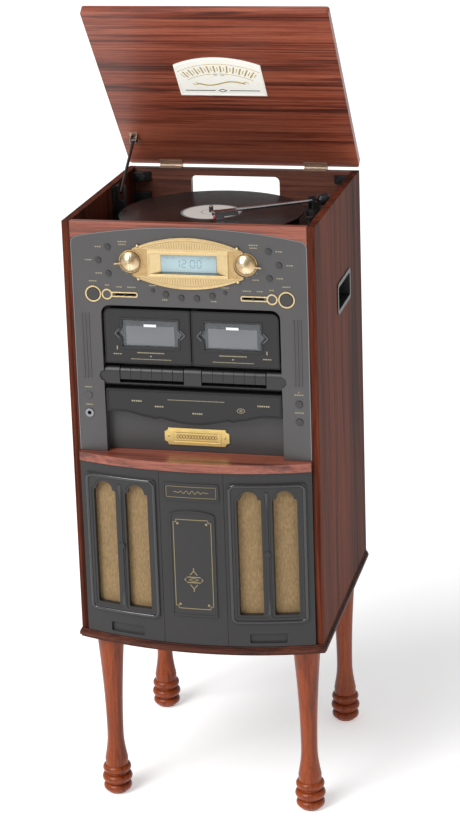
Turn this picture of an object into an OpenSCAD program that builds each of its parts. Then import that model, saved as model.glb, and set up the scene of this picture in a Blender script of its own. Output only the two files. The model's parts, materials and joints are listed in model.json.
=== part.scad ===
// Floor-standing music centre: wooden cabinet on turned legs, record player under a lid,
// radio, twin cassette deck and disc drawer in the front, speakers behind arched grilles.
// Frame: origin on the floor under the cabinet's centre, +X to the right, +Y to the back, +Z up.

/* [Cabinet] */
// Width of the cabinet over its side panels
body_w = 400; // [360:1:480]
// Depth of the cabinet over its side panels
body_d = 390; // [366:1:470]
// Height of the side panels
side_h = 682; // [650:1:820]
// Thickness of the wooden boards
panel_t = 12; // [10:1:15]
// How far the front bows forward in the middle
bow = 34; // [20:1:45]
// Height of the upper front, from the cabinet's top to the bowed rail
upper_h = 376; // [372:1:400]
// Thickness of the bowed rail under the upper front
rail_t = 14; // [10:1:16]

/* [Base and legs] */
// Thickness of the base plate
base_t = 14; // [12:1:20]
// Overhang of the base plate's moulded edge
base_lip = 4; // [2:1:8]
// Length of the legs
leg_h = 292; // [240:1:350]
// Diameter of a leg at its top
leg_top_d = 46; // [40:1:52]
// Diameter of a leg at its ankle
ankle_d = 27; // [22:1:32]
// Diameter of a leg's turned foot
foot_d = 50; // [42:1:56]
// Distance from a leg's centre to the cabinet's sides
leg_inset = 36; // [32:1:50]

/* [Lid] */
// Thickness of the lid
lid_t = 13; // [10:1:16]
// Opening angle of the lid on its stay
lid_angle = 50.5; // [40:0.5:60]
// Radius of the lid's corners
lid_corner_r = 5; // [2:1:10]
// Distance from the hinge to the stay's pivot on the lid
stay_reach = 75; // [65:1:90]
// Diameter of the stay's rod
stay_d = 5; // [4:0.5:6]

/* [Record player] */
// Depth of the record well below the cabinet's top
well_depth = 60; // [56:1:72]
// Diameter of the platter
platter_d = 284; // [260:1:290]
// Height of the platter
platter_h = 22; // [18:1:24]
// Diameter of the record
record_d = 301; // [290:1:302]
// Thickness of the record
record_t = 2; // [1.5:0.1:2.5]
// Diameter of the spindle
spindle_d = 7.2; // [6.8:0.1:7.4]
// Spindle's place across the cabinet
spindle_x = -10; // [-14:1:-8]
// Spindle's place along the depth
spindle_y = 4; // [0:1:10]
// Tonearm pivot's distance in from the right wall
arm_in = 36; // [34:1:38]
// Tonearm pivot's place along the depth
arm_y = 40; // [36:1:60]
// Length from the tonearm's pivot to the stylus
arm_len = 164; // [158:1:166]
// Angle of the tonearm, counted from straight left towards the front
arm_angle = 33; // [30:1:36]

/* [Upper front] */
// Height of the top rail at its ends
arch_end = 25; // [20:1:32]
// Height of the top rail in the middle
arch_mid = 6; // [4:1:12]
// Depth of the recess that holds the decks
recess_depth = 18; // [16:1:24]
// Gap at each side between the cassette doors and the recess
recess_margin = 3; // [2:0.5:6]
// Depth from the cabinet's top to the recess
recess_top = 134; // [130:1:136]
// Diameter of the two brass knobs
knob_d = 31; // [26:1:34]
// Distance between the knobs
knob_gap = 183; // [178:1:190]
// Depth of the knobs and the display below the cabinet's top
knob_drop = 62; // [58:1:64]
// Diameter of the small round buttons
button_d = 9; // [7:0.5:10]
// Travel of the push buttons
button_travel = 2.5; // [1.5:0.5:3]
// Diameter of the headphone plug's bore
jack_d = 6.4; // [6.3:0.1:6.6]

/* [Decks] */
// Width of one cassette door
door_w = 138; // [134:1:140]
// Height of one cassette door
door_h = 88; // [86:1:90]
// How far a cassette deck's centre lies inside its door's middle
deck_shift = 5; // [4:0.5:6]
// Width of a door's face at each side of its window
window_margin = 24; // [20:1:26]
// Height of one cassette window
window_h = 44; // [38:1:48]
// Width of one cassette key
key_w = 17; // [15:0.5:17.5]
// Height of one cassette key
key_h = 21; // [18:1:22]
// Diameter of a disc
disc_d = 120; // [80:40:120]

/* [Lower front] */
// Half width of the middle panel
seam_x = 52; // [46:1:56]
// Width of one arched grille opening
arch_w = 38; // [32:1:40]
// Height of the frame above a grille opening
arch_margin = 29.2; // [22:0.2:50]
// Width of the bar between two grille openings
mullion_w = 17; // [14:1:20]
// Diameter of a loudspeaker
driver_d = 104; // [90:1:108]

/* [Fits] */
// Gap between parts that lie beside each other
gap = 0.4; // [0.3:0.1:0.6]
// Radial clearance of a turning shaft
fit = 0.05; // [0.02:0.01:0.08]

/* [Hidden] */
KEYS = ["pause", "stop", "forward", "rewind", "play"];
$fn = 48;

// overall places
base_top = leg_h + base_t;
zt = base_top + side_h;
half_w = body_w / 2;
in_x = half_w - panel_t;
yf = -body_d / 2;
yb = body_d / 2;
wood = [0.42, 0.2, 0.14];
edge_wood = [0.5, 0.25, 0.18];
charcoal = [0.32, 0.31, 0.31];
brass = [0.78, 0.66, 0.42];

// bowed front: an arc through the cabinet's front corners
bow_r = (half_w * half_w + bow * bow) / (2 * bow);
bow_y = yf - bow + bow_r;
lower_top = upper_h + rail_t;
skin_t = 8;
seat_gap = 0.02;

// record player heights
deck_z = zt - well_depth;
platter_z = deck_z + 4;
platter_top = platter_z + platter_h;
mat_t = 2;
record_z = platter_top + mat_t;
record_top = record_z + record_t;
arm_x = in_x - arm_in;
arm_z = record_top + 14;
wheel_r = 12;
rim_t = 5;
wheel_mesh_gap = 0.35;
wheel_x = spindle_x + platter_d / 2 - rim_t - wheel_r - wheel_mesh_gap;
motor_shaft_r = 1.5;

// lid and stay
hinge_y = yb + 2.8;
leaf_t = 1.3;
lid_bottom = 2 * leaf_t + 0.4;
hinge_z = zt + lid_bottom / 2;
hinge_x = half_w * 0.63;
hinge_w = 40;
leaf_d = 11;
knuckle_r = 2.6;
pin_r = 1.2;
lid_len = hinge_y - 2.8 - yf - 2;
stay_x = -in_x + 11;
stay_hang = 8;
clip_y = hinge_y - stay_reach;
clip_z = zt + lid_bottom - stay_hang;
stay_len = 112;
stay_slope = 38;
guide_y = yb - 133;
guide_h = 50;
guide_slot_half = stay_d / 2 + 2;
clip_half = 5;
stay_eye_r = 3.6;
stay_pin_r = 1.8;

// upper front
door_x0 = 2;
recess_w = 2 * (door_x0 + door_w + recess_margin);
recess_r = 14;
recess_floor = yf + 1 + recess_depth;
plate_t = 3;
fascia_corner_r = 12;
arch_rise = arch_end - arch_mid;
fascia_half = in_x - gap;
arch_r = (fascia_half * fascia_half + arch_rise * arch_rise) / (2 * arch_rise);
lens_half = 88;
band_h = 48;
lens_rise = 41;
window_open_w = 121;
window_open_h = 32;
lcd_w = 88;
lcd_h = 27;
trim_big_x = 154;
trim_small_x = 131.5;
trim_slot_x = 102;
trim_slot_w = 40;
trim_z = zt - 116;
trim_big_r = 13;
trim_small_r = 8.6;
ring_t = 2.2;
round_key_r = trim_big_r - ring_t - 1;
slider_w = 7;
slot_travel = 14;
strip_x = (recess_w / 2 + fascia_half) / 2 + 4;
lower_button_drops = [283, 312];
shaft_r = 3;
trio_places = [[127.5, 40], [143.5, 61.5], [128, 82.5]];
preset_places = [[12.4, 118.2], [37, 113.3]];
preset_dot_r = 2.5;
lower_button_r = 5.5;
jack_len = 18;
jack_body = 8.6;
jack_ring_r = 6.8;
door_drop = recess_top + 7;
door_bottom = zt - door_drop - door_h;
deck_x = door_x0 + door_w / 2 - deck_shift;
window_w = door_w - 2 * window_margin;
window_tip = 8;
door_y = yf + 4;
door_plate_t = 4;
door_axis_y = door_y + 8;
door_axis_z = door_bottom + 4;
door_open_w = door_w - 14;
holder_x = door_w / 2 - 9;
holder_t = 1.6;
holder_d = 13;
lug_w = 4;
lug_r = 3.4;
door_pin_r = 1.5;
keys_top = door_bottom - 6;
key_axis_y = recess_floor - 3;
key_axis_z = keys_top - 3;
key_front = yf + 3;
lip_h = 6;
lip_top = keys_top - key_h - 5;
bar_half = 3 * key_w + 1;
drawer_top = lip_top - lip_h - 4;
drawer_h = 38;
drawer_y = yf + 3;
drawer_t = 6;
tray_w = disc_d + 12;
tray_h = 9;
tray_z = drawer_top - 20;
tray_len = disc_d + 20;
tray_start = drawer_y + drawer_t;
rail_gap = 0.4;
plate_drop = upper_h - 25;
name_w = 105;
name_h = 28;

// lower front
low_z1 = zt - lower_top - gap;
low_z0 = base_top + gap;
arch_bottom = low_z0 + 54;
arch_h = low_z1 - arch_bottom - arch_margin;
frame_half = (2 * arch_w + mullion_w) / 2 + 14;
frame_x = seam_x + 6 + frame_half;
driver_z = arch_bottom + arch_h / 2;
baffle_y = yf + 6;

// media chassis behind the recess
chassis_y = recess_floor + 2.4;
tape_bay_d = 24;
tape_bay_w = door_w - 20;
hub_pitch = 42.5;
hub_r = 4.6;

// places a drawing in the X-Z plane as a plate from y to y + t
module front(y, t) {
    translate([0, y + t, 0]) rotate([90, 0, 0]) linear_extrude(t) children();
}

// places a drawing in the Y-Z plane as a bar from x to x + w
module profile(x, w) {
    translate([x, 0, 0]) rotate([90, 0, 90]) linear_extrude(w) children();
}

// both sides of the cabinet
module mirrored() {
    children();
    mirror([1, 0, 0]) children();
}

module box(low, high) {
    translate(low) cube(high - low);
}

module rounded(x0, x1, z0, z1, r) {
    translate([x0 + r, z0]) square([x1 - x0 - 2 * r, z1 - z0]);
    translate([x0, z0 + r]) square([x1 - x0, z1 - z0 - 2 * r]);
    for (x = [x0 + r, x1 - r], z = [z0 + r, z1 - r]) translate([x, z]) circle(r);
}

// slab that follows the bow: from depth d0 to depth d1 behind the bowed surface
module bowed(d0, d1, z0, z1) {
    translate([0, bow_y, z0]) linear_extrude(z1 - z0) difference() {
        circle(bow_r - d0, $fn = 360);
        circle(bow_r - d1, $fn = 360);
        translate([-bow_r * 2, -bow_r / 2]) square([bow_r * 4, bow_r * 3]);
    }
}

// a drawing in the X-Z plane cut out of the bowed slab
module bowed_cut(d0, d1) {
    intersection() {
        bowed(d0, d1, low_z0 - 1, low_z1 + 1);
        front(yf - bow - 5, bow + 30) children();
    }
}

// board whose front edge follows the bow, its back edge straight
module bow_board(overhang, half, y_back, z0, z1) {
    translate([0, 0, z0]) linear_extrude(z1 - z0) intersection() {
        translate([0, bow_y]) circle(bow_r + overhang, $fn = 360);
        translate([-half, yf - bow - 20]) square([2 * half, y_back - yf + bow + 20]);
    }
}

// ---- cabinet ----

grip_y = yf + 226;
grip_z = zt - 164;
grip_w = 104;
grip_h = 44;
grip_rim = 4;
grip_wall = 3;

module side_panel() {
    difference() {
        box([in_x, yf, base_top], [half_w, yb, zt]);
        profile(in_x - 1, panel_t + 2) grip_shape(0, 6);
    }
}

module left_side_panel() {
    color(wood) mirror([1, 0, 0]) side_panel();
}

module right_side_panel() {
    color(wood) side_panel();
}

// openings of the back: a hand's way into the well, the rear panel's hole and the vents
cut_x = -12;
cut_w = 154;
cut_top = 12;
cut_h = 40;
rear_w = 170;
rear_h = 60;
rear_z = base_top + 120;
rear_edge = 10;
vent_count = 6;
vent_w = 120;
vent_h = 6;
vent_pitch = 14;

module back_panel() {
    color(wood) difference() {
        box([-in_x + gap, yb - panel_t, base_top + gap], [in_x - gap, yb, zt]);
        front(yb - panel_t - 1, panel_t + 2) {
            rounded(cut_x - cut_w / 2, cut_x + cut_w / 2, zt - cut_top - cut_h, zt - cut_top, 9);
            translate([0, rear_z]) square([rear_w - 2 * rear_edge, rear_h - 2 * rear_edge], center = true);
            for (i = [0 : vent_count - 1]) {
                vent_z = rear_z + rear_h + vent_pitch * i;
                rounded(-vent_w / 2, vent_w / 2, vent_z, vent_z + vent_h, vent_h / 2 - 0.1);
            }
        }
    }
}

// upper front: an arched top that runs into rounded corners, square at the bottom
module fascia_outline(inset = 0) {
    half = fascia_half - inset;
    bottom = zt - upper_h + gap;
    arch_centre = zt - arch_mid - inset - arch_r;
    corner_x = half - fascia_corner_r;
    corner_z = arch_centre + sqrt(pow(arch_r - fascia_corner_r, 2) - pow(corner_x, 2));
    touch_x = corner_x * arch_r / (arch_r - fascia_corner_r);
    intersection() {
        translate([0, arch_centre]) circle(arch_r, $fn = 360);
        translate([-touch_x, bottom]) square([2 * touch_x, upper_h]);
    }
    translate([-half, bottom]) square([2 * half, corner_z - bottom]);
    for (x = [-1, 1] * corner_x) translate([x, corner_z]) circle(fascia_corner_r);
}

top_rail_h = 22;
rail_overhang = 3;
rail_depth = 24;
driver_rim = 6;

module front_boards() {
    color(edge_wood) {
        // top rail, arched over the upper front
        front(yf, panel_t) difference() {
            translate([-in_x + gap, zt - arch_end - top_rail_h])
                square([2 * (in_x - gap), arch_end + top_rail_h]);
            fascia_outline(-gap);
        }
        // bowed rail between the upper and the lower front
        bow_board(rail_overhang, in_x - gap, yf + rail_depth, zt - lower_top, zt - upper_h);
        // board that carries the loudspeakers
        difference() {
            box([-in_x + gap, baffle_y, base_top + gap], [in_x - gap, baffle_y + panel_t, low_z1]);
            mirrored() translate([frame_x, baffle_y - 1, driver_z]) rotate([-90, 0, 0])
                cylinder(h = panel_t + 2, d = driver_d - 2 * driver_rim);
        }
    }
}

// base plate with a stepped moulding that follows its edge
module base_layer(overhang, z0, z1) {
    bow_board(overhang, half_w + overhang, yb, z0, z1);
}

module base_plate() {
    mould = base_t / 4;
    color(edge_wood) difference() {
        union() {
            base_layer(base_lip - 2.5, leg_h, leg_h + mould);
            base_layer(base_lip, leg_h + mould, leg_h + 2.5 * mould);
            base_layer(base_lip - 1.2, leg_h + 2.5 * mould, leg_h + 3.2 * mould);
            base_layer(base_lip - 3, leg_h + 3.2 * mould, base_top);
        }
        at_legs() translate([0, 0, -1]) cylinder(h = base_t + 2, r = dowel_r + fit);
    }
}

module at_legs() {
    for (x = [-1, 1] * (half_w - leg_inset), y = [yf + leg_inset, yb - leg_inset])
        translate([x, y, leg_h]) children();
}

// turned leg: a long taper to the ankle, a flare, and three rings on the foot
ankle_z = 105;
flare_z = 60;
ring_h = 14;
ring_pitch = ring_h + 2.4;
dowel_r = 4;
function taper(t) = leg_top_d / 2 + (ankle_d - leg_top_d) / 2 * sin(90 * t);
function flare(t) = ankle_d / 2 + (foot_d / 2 - 6 - ankle_d / 2) * (1 - cos(90 * t));

module leg() {
    steps = 12;
    rotate_extrude($fn = 64) {
        polygon(concat(
            [[0, -leg_h], [foot_d / 2 - 9, -leg_h], [foot_d / 2 - 7, -leg_h + 3]],
            [for (i = [0 : steps / 2]) [flare(1 - 2 * i / steps),
                                        flare_z - leg_h + (ankle_z - flare_z) * 2 * i / steps]],
            [for (i = [1 : steps]) [taper(1 - i / steps), ankle_z - leg_h + (leg_h - ankle_z) * i / steps]],
            [[0, 0]]));
        for (i = [0 : 2]) {
            swell = foot_d / 2 - abs(i - 1) * 1.5 - ring_h / 2;
            translate([swell, -leg_h + 10 + ring_pitch * i]) circle(ring_h / 2, $fn = 32);
            translate([0, -leg_h + 3 + ring_pitch * i]) square([swell, ring_h]);
        }
    }
    cylinder(h = base_t - 2, r = dowel_r);
}

module legs() {
    color([0.6, 0.3, 0.2]) at_legs() leg();
}

// ---- record player ----

deck_t = 12;
well_wall_y = yf + 22;
plinth_h = 14;
spindle_top = record_top + 9;
arm_post_r = 4;
arm_post_top = arm_z - 17;
arm_rest_y = arm_y - 85.3;

module deck_board() {
    color(charcoal) difference() {
        union() {
            box([-in_x + gap, well_wall_y + deck_t, deck_z - deck_t],
                [in_x - gap, yb - panel_t - gap, deck_z]);
            // front wall of the well
            box([-in_x + gap, well_wall_y, deck_z - deck_t],
                [in_x - gap, well_wall_y + deck_t, zt - arch_end - 8]);
            // plinth of the tonearm and its rest
            box([arm_x - 8, arm_y - 96, deck_z], [in_x - 12, arm_y + 50, deck_z + plinth_h]);
            translate([arm_x + 10, arm_rest_y, 0]) {
                translate([0, 0, deck_z]) cylinder(h = arm_z - 5 - deck_z, r = 3);
                translate([-5, -4, arm_z - 8]) cube([10, 8, 3]);
            }
            translate([spindle_x, spindle_y, deck_z]) {
                cylinder(h = spindle_top - deck_z, d = spindle_d);
                cylinder(h = 3, r = 9);
            }
            translate([arm_x, arm_y, deck_z]) cylinder(h = arm_post_top - deck_z, r = arm_post_r);
        }
        translate([wheel_x, spindle_y, deck_z - deck_t - 1]) cylinder(h = deck_t + 2, r = motor_hole_r);
    }
}

platter_web = 4;
hub_wall_r = 14;
mat_edge = 4;

module platter() {
    color([0.16, 0.16, 0.16]) translate([spindle_x, spindle_y, 0]) difference() {
        union() {
            translate([0, 0, platter_z]) cylinder(h = platter_h, d = platter_d, $fn = 96);
            translate([0, 0, platter_top]) cylinder(h = mat_t, d = platter_d - 2 * mat_edge, $fn = 96);
        }
        translate([0, 0, platter_z - 1]) difference() {
            cylinder(h = platter_h - platter_web, r = platter_d / 2 - rim_t, $fn = 96);
            cylinder(h = platter_h, r = hub_wall_r);
        }
        translate([0, 0, platter_z - 1]) cylinder(h = platter_h + mat_t + 2, r = spindle_d / 2 + fit);
    }
}

module record() {
    color([0.08, 0.08, 0.08]) translate([spindle_x, spindle_y, record_z]) difference() {
        cylinder(h = record_t, d = record_d, $fn = 120);
        translate([0, 0, -1]) cylinder(h = record_t + 2, r = spindle_d / 2 + fit);
    }
}

motor_r = 18;
motor_h = 30;
motor_hole_r = 5;
wheel_h = 7;

module motor() {
    color("silver") translate([wheel_x, spindle_y, 0]) {
        translate([0, 0, deck_z - deck_t - motor_h]) cylinder(h = motor_h - gap / 2, r = motor_r);
        translate([0, 0, deck_z - deck_t - 1]) cylinder(h = 28, r = motor_shaft_r);
    }
}

module drive_wheel() {
    color([0.1, 0.1, 0.1]) translate([wheel_x, spindle_y, deck_z + 6]) difference() {
        cylinder(h = wheel_h, r = wheel_r);
        translate([0, 0, -1]) cylinder(h = wheel_h + 2, r = motor_shaft_r + fit);
    }
}

module at_arm() {
    translate([arm_x, arm_y, arm_z]) rotate([0, 0, arm_angle]) children();
}

// turning base with a fork that holds the arm's cross pin
arm_base_r = 12;
arm_base_z = plinth_h + 0.4;
fork_half = 7;
fork_t = 3;
cross_pin_r = 1.5;
tube_d = 6;
weight_r = 9;
weight_len = 15;

module tonearm_base() {
    foot = deck_z + arm_base_z - arm_z;
    color([0.12, 0.12, 0.12]) at_arm() {
        difference() {
            translate([0, 0, foot]) cylinder(h = -14 - foot, r = arm_base_r);
            translate([0, 0, foot - 1])
                cylinder(h = arm_post_top + 0.2 - arm_z + 1 - foot, r = arm_post_r + fit);
        }
        difference() {
            for (s = [-1, 1]) translate([-6, s * (fork_half + fork_t / 2) - fork_t / 2, -14.5])
                cube([12, fork_t, 20]);
            translate([0, arm_base_r, 0]) rotate([90, 0, 0])
                cylinder(h = 2 * arm_base_r, r = cross_pin_r + fit);
        }
    }
}

// tube, head and counterweight in one; along -X at rest
head_len = 36;
head_w = 16;
head_wall = 1.6;

module tonearm() {
    color("silver") at_arm() {
        translate([-arm_len + head_len - 6, 0, 0]) rotate([0, 90, 0])
            cylinder(h = arm_len - head_len + 12, d = tube_d);
        translate([6, 0, 0]) rotate([0, 90, 0]) cylinder(h = 5, d = tube_d);
        rotate([90, 0, 0]) translate([0, 0, -fork_half - fork_t])
            cylinder(h = 2 * (fork_half + fork_t), r = cross_pin_r);
        translate([10, 0, 0]) rotate([0, 90, 0]) cylinder(h = weight_len, r = weight_r);
        // head shell, open below, with its cartridge, stylus and finger lift
        difference() {
            translate([-arm_len - 8, -head_w / 2, -7]) cube([head_len + 4, head_w, 8]);
            translate([-arm_len - 9, -head_w / 2 + head_wall, -8])
                cube([head_len - 2, head_w - 2 * head_wall, 7]);
        }
        translate([-arm_len - 5, -4.5, -12]) cube([14, 9, 11.5]);
        translate([-arm_len, 0, record_top + 0.25 - arm_z]) cylinder(h = 3, r = 0.6);
        translate([-arm_len + 2, head_w / 2, -4]) cube([2.4, 12, 2.4]);
    }
}

// ---- lid ----

module lid_pose() {
    translate([0, hinge_y, hinge_z]) rotate([-lid_angle, 0, 0]) translate([0, -hinge_y, -hinge_z]) children();
}

lid_front = yb - lid_len;
lid_z = zt + lid_bottom;
badge_w = 144;
badge_h = 94;
badge_y = yb - lid_len * 0.48;
badge_t = 1.5;
badge_line = 2.4;

module lid() {
    color(wood) lid_pose()
        translate([0, 0, lid_z]) linear_extrude(lid_t) rounded(-half_w, half_w, lid_front, yb, lid_corner_r);
}

// arched badge on the inside of the lid; its top edge faces the lid's front edge
module badge_outline(inset) {
    half = badge_w / 2 - inset;
    rise = badge_h - inset;
    side = badge_h * 0.8 - inset;
    bulge = rise - side;
    arc_r = (half * half + bulge * bulge) / (2 * bulge);
    intersection() {
        translate([-half, inset]) square([2 * half, rise]);
        translate([0, rise - arc_r]) circle(arc_r, $fn = 120);
    }
}

module lid_badge() {
    color([0.9, 0.87, 0.78]) lid_pose() translate([0, badge_y, lid_z - badge_t]) mirror([0, 1, 0]) {
        linear_extrude(badge_t - seat_gap) badge_outline(0);
        translate([0, 0, -0.6]) linear_extrude(0.8) difference() {
            badge_outline(badge_line);
            badge_outline(badge_line * 1.5);
        }
    }
}

module knuckle(x0, x1, r_hole) {
    translate([x0, hinge_y, hinge_z]) rotate([0, 90, 0]) difference() {
        cylinder(h = x1 - x0, r = knuckle_r);
        if (r_hole > 0) translate([0, 0, -1]) cylinder(h = x1 - x0 + 2, r = r_hole);
    }
}

module hinge_leaves() {
    third = hinge_w / 3;
    color([0.7, 0.6, 0.5]) for (x = [-1, 1] * hinge_x) {
        for (s = [-1, 1]) {
            x0 = x + s * third - third / 2;
            knuckle(x0, x0 + third, 0);
            box([x0 + gap, yb - 1, zt + seat_gap], [x0 + third - gap, hinge_y, zt + leaf_t]);
        }
        box([x - hinge_w / 2, yb - leaf_d, zt + seat_gap], [x + hinge_w / 2, yb - 0.2, zt + leaf_t]);
        translate([x - hinge_w / 2, hinge_y, hinge_z]) rotate([0, 90, 0]) cylinder(h = hinge_w, r = pin_r);
    }
}

module lid_fittings() {
    third = hinge_w / 3;
    color([0.7, 0.6, 0.5]) lid_pose() {
        for (x = [-1, 1] * hinge_x) {
            knuckle(x - third / 2 + gap, x + third / 2 - gap, pin_r + fit);
            box([x - third / 2 + gap, yb - 1, lid_z - leaf_t],
                [x + third / 2 - gap, hinge_y - 1.6, lid_z - seat_gap]);
            box([x - hinge_w / 2, yb - leaf_d, lid_z - leaf_t], [x + hinge_w / 2, yb, lid_z - seat_gap]);
        }
        // clip for the stay
        difference() {
            union() {
                box([stay_x - 7, clip_y - 12, lid_z - 1.5], [stay_x + 7, clip_y + 12, lid_z - seat_gap]);
                for (s = [-1, 1]) box([stay_x + s * clip_half - 1, clip_y - 5, clip_z - 4],
                                      [stay_x + s * clip_half + 1, clip_y + 5, lid_z - 1]);
            }
            translate([stay_x - 8, clip_y, clip_z]) rotate([0, 90, 0])
                cylinder(h = 16, r = stay_pin_r + fit);
        }
    }
}

// rod that hangs from the lid and runs through the guide on the left wall
module stay_rod() {
    color([0.15, 0.15, 0.15]) lid_pose() translate([0, clip_y, clip_z])
        rotate([lid_angle + stay_slope, 0, 0]) {
            translate([stay_x, -stay_len, 0]) rotate([-90, 0, 0]) cylinder(h = stay_len - 3, d = stay_d);
            translate([stay_x - stay_eye_r, 0, 0]) rotate([0, 90, 0])
                cylinder(h = 2 * stay_eye_r, r = stay_eye_r);
            translate([stay_x - 6.4, 0, 0]) rotate([0, 90, 0]) cylinder(h = 12.8, r = stay_pin_r);
        }
}

module stay_bracket() {
    guide_top = zt - 3;
    color([0.1, 0.1, 0.1]) {
        box([-in_x, guide_y - 20, guide_top - guide_h - 4], [-in_x + 2.5, guide_y + 20, guide_top]);
        difference() {
            box([-in_x + 2, guide_y - 4, guide_top - guide_h], [stay_x + 7, guide_y + 4, guide_top]);
            box([stay_x - guide_slot_half, guide_y - 5, guide_top - guide_h + 24],
                [stay_x + guide_slot_half, guide_y + 5, zt]);
        }
    }
}

// plastic blocks in the well's back corners, each with two screws
fitting_w = 28;
fitting_h = 14;
fitting_drops = [20, 56];
fitting_screws = [8, 19];

module corner_fittings() {
    wall_y = yb - panel_t;
    color([0.08, 0.08, 0.08]) for (side = [-1, 1], drop = fitting_drops) {
        z = zt - drop;
        difference() {
            x0 = side > 0 ? in_x - fitting_w : -in_x;
            box([x0, wall_y - fitting_h, z], [x0 + fitting_w, wall_y, z + fitting_h]);
            translate([side * (in_x - fitting_w), wall_y - fitting_h, z - 1]) rotate([0, 0, 45])
                translate([-7, -7, 0]) cube([14, 14, fitting_h + 2]);
        }
        for (dx = fitting_screws) translate([side * (in_x - dx), wall_y - fitting_h, z + fitting_h / 2])
            rotate([90, 0, 0]) cylinder(h = 1.6, r = 2.6);
    }
}

module grip_shape(grow, r) {
    rounded(grip_y - grip_w / 2 - grow, grip_y + grip_w / 2 + grow,
            grip_z - grip_h / 2 - grow, grip_z + grip_h / 2 + grow, r);
}

module hand_grips() {
    color([0.1, 0.1, 0.1]) mirrored() difference() {
        union() {
            profile(half_w + seat_gap, 1.6) grip_shape(grip_rim, 9);
            profile(in_x - 10, panel_t + 11) grip_shape(-gap, 5);
        }
        profile(in_x - 8, panel_t + 12) grip_shape(-grip_wall, 4);
    }
}

// ---- upper front ----

finger_r = 9;

module recess_outline(grow = 0) {
    half = recess_w / 2 + grow;
    top = zt - recess_top + grow;
    bottom = zt - upper_h;
    difference() {
        union() {
            rounded(-half, half, bottom - 40, top, recess_r);
            for (x = [-1, 1] * (recess_w / 2 - 2)) translate([x, keys_top - key_h / 2 - 4])
                circle(finger_r + grow);
        }
        translate([-half - 20, bottom - 60]) square([2 * half + 40, 60 + gap]);
    }
}

module bar_profile() {
    // rounded nose of the key bar, drawn in the Y-Z plane
    height = keys_top - lip_top + lip_h;
    nose_r = 9;
    for (z = [keys_top - nose_r, lip_top - lip_h + nose_r]) translate([key_front + nose_r, z]) circle(nose_r);
    translate([key_front, keys_top - height + nose_r]) square([12, height - 2 * nose_r]);
    translate([key_front + nose_r, keys_top - height])
        square([recess_floor - key_front - nose_r + 1, height]);
}

module button_bores(points, r) {
    front(yf - 1, plate_t + 3) for (p = points) translate(p) circle(r + fit * 2);
}

function trio(side) = [for (p = trio_places) [side * p[0], zt - p[1]]];
presets = [for (s = [-1, 1]) for (p = preset_places) [s * p[0], zt - p[1]]];
preset_dots = [for (s = [-1, 1]) [s * 57.5, zt - 107.8]];
lower_points = [for (d = lower_button_drops) [strip_x, zt - d]];
sensor_point = [-strip_x, zt - lower_button_drops[0]];
jack_point = [-strip_x, zt - lower_button_drops[1]];

rib_pitch = 5.4;
rib_r = 1.5;
rib_z = zt - 254;
rib_len = 106;

module upper_fascia() {
    color(charcoal) difference() {
        union() {
            front(yf + 1, plate_t) fascia_outline();
            front(yf + 1, recess_depth + 2) recess_outline(2);
            // three ribs on each side strip
            mirrored() for (i = [-1, 0, 1])
                translate([strip_x + rib_pitch * i, yf + 1.2, rib_z])
                    cylinder(h = rib_len, r = rib_r, $fn = 24);
            // light sensor
            translate([sensor_point[0], yf + 2, sensor_point[1]]) rotate([90, 0, 0])
                cylinder(h = 2.4, r = lower_button_r);
            // shaft bosses of the knobs
            mirrored() translate([knob_gap / 2, yf + 2, zt - knob_drop]) rotate([-90, 0, 0])
                cylinder(h = 11, r = 2 * shaft_r);
            // bridge behind the headphone socket
            translate([jack_point[0], yf + 2, jack_point[1]]) difference() {
                translate([-jack_body, 0, -6]) cube([2 * jack_body, jack_len + 6, 12]);
                translate([-jack_body + 3, -1, -7]) cube([2 * jack_body - 6, jack_len + 5, 14]);
            }
        }
        difference() {
            front(yf - 1, recess_depth + 2) recess_outline();
            intersection() {
                profile(-recess_w / 2 - 20, recess_w + 40) bar_profile();
                front(yf - 1, recess_depth + 4) recess_outline(1);
            }
            mirrored() for (s = [-1, 1]) door_lug(s);
        }
        mirrored() {
            // openings behind the cassette doors and keys
            box([deck_x - door_open_w / 2, recess_floor - 1, door_axis_z + 1],
                [deck_x + door_open_w / 2, recess_floor + 5, door_bottom + door_h - 5]);
            box([deck_x - bar_half, yf - 1, lip_top], [deck_x + bar_half, recess_floor - 1, keys_top + 1]);
            translate([knob_gap / 2, yf - 1, zt - knob_drop]) rotate([-90, 0, 0])
                cylinder(h = 20, r = shaft_r + fit);
        }
        mirrored() for (s = [-1, 1]) door_lug_bore(s);
        // drawer slot
        box([-tray_w / 2 - 1.5, recess_floor - 1, tray_z - 1.5],
            [tray_w / 2 + 1.5, recess_floor + 5, tray_z + tray_h + 1.5]);
        button_bores(concat(trio(-1), trio(1), presets), button_d / 2);
        button_bores(preset_dots, preset_dot_r);
        button_bores(lower_points, lower_button_r);
        button_bores([for (s = [-1, 1]) [s * trim_big_x, trim_z]], round_key_r);
        front(yf - 1, plate_t + 3) mirrored()
            rounded(trim_slot_x - slot_travel - slider_w / 2 + 1,
                    trim_slot_x + slot_travel + slider_w / 2 - 1,
                    trim_z - 1.6, trim_z + 1.6, 1.5);
        front(yf - 1, plate_t + 3) translate(jack_point) square(jack_body + 2 * gap, center = true);
        front(yf - 1, plate_t + 3)
            translate([-window_open_w / 2, zt - knob_drop - 3 - window_open_h / 2])
                square([window_open_w, window_open_h]);
    }
}

module door_lug(s) {
    x = deck_x + s * (holder_x + holder_t + lug_w / 2 + gap);
    translate([x - lug_w / 2, door_axis_y, door_axis_z]) rotate([0, 90, 0]) cylinder(h = lug_w, r = lug_r);
    box([x - lug_w / 2, door_axis_y, door_axis_z - lug_r],
        [x + lug_w / 2, recess_floor + 1, door_axis_z + lug_r]);
}

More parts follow.
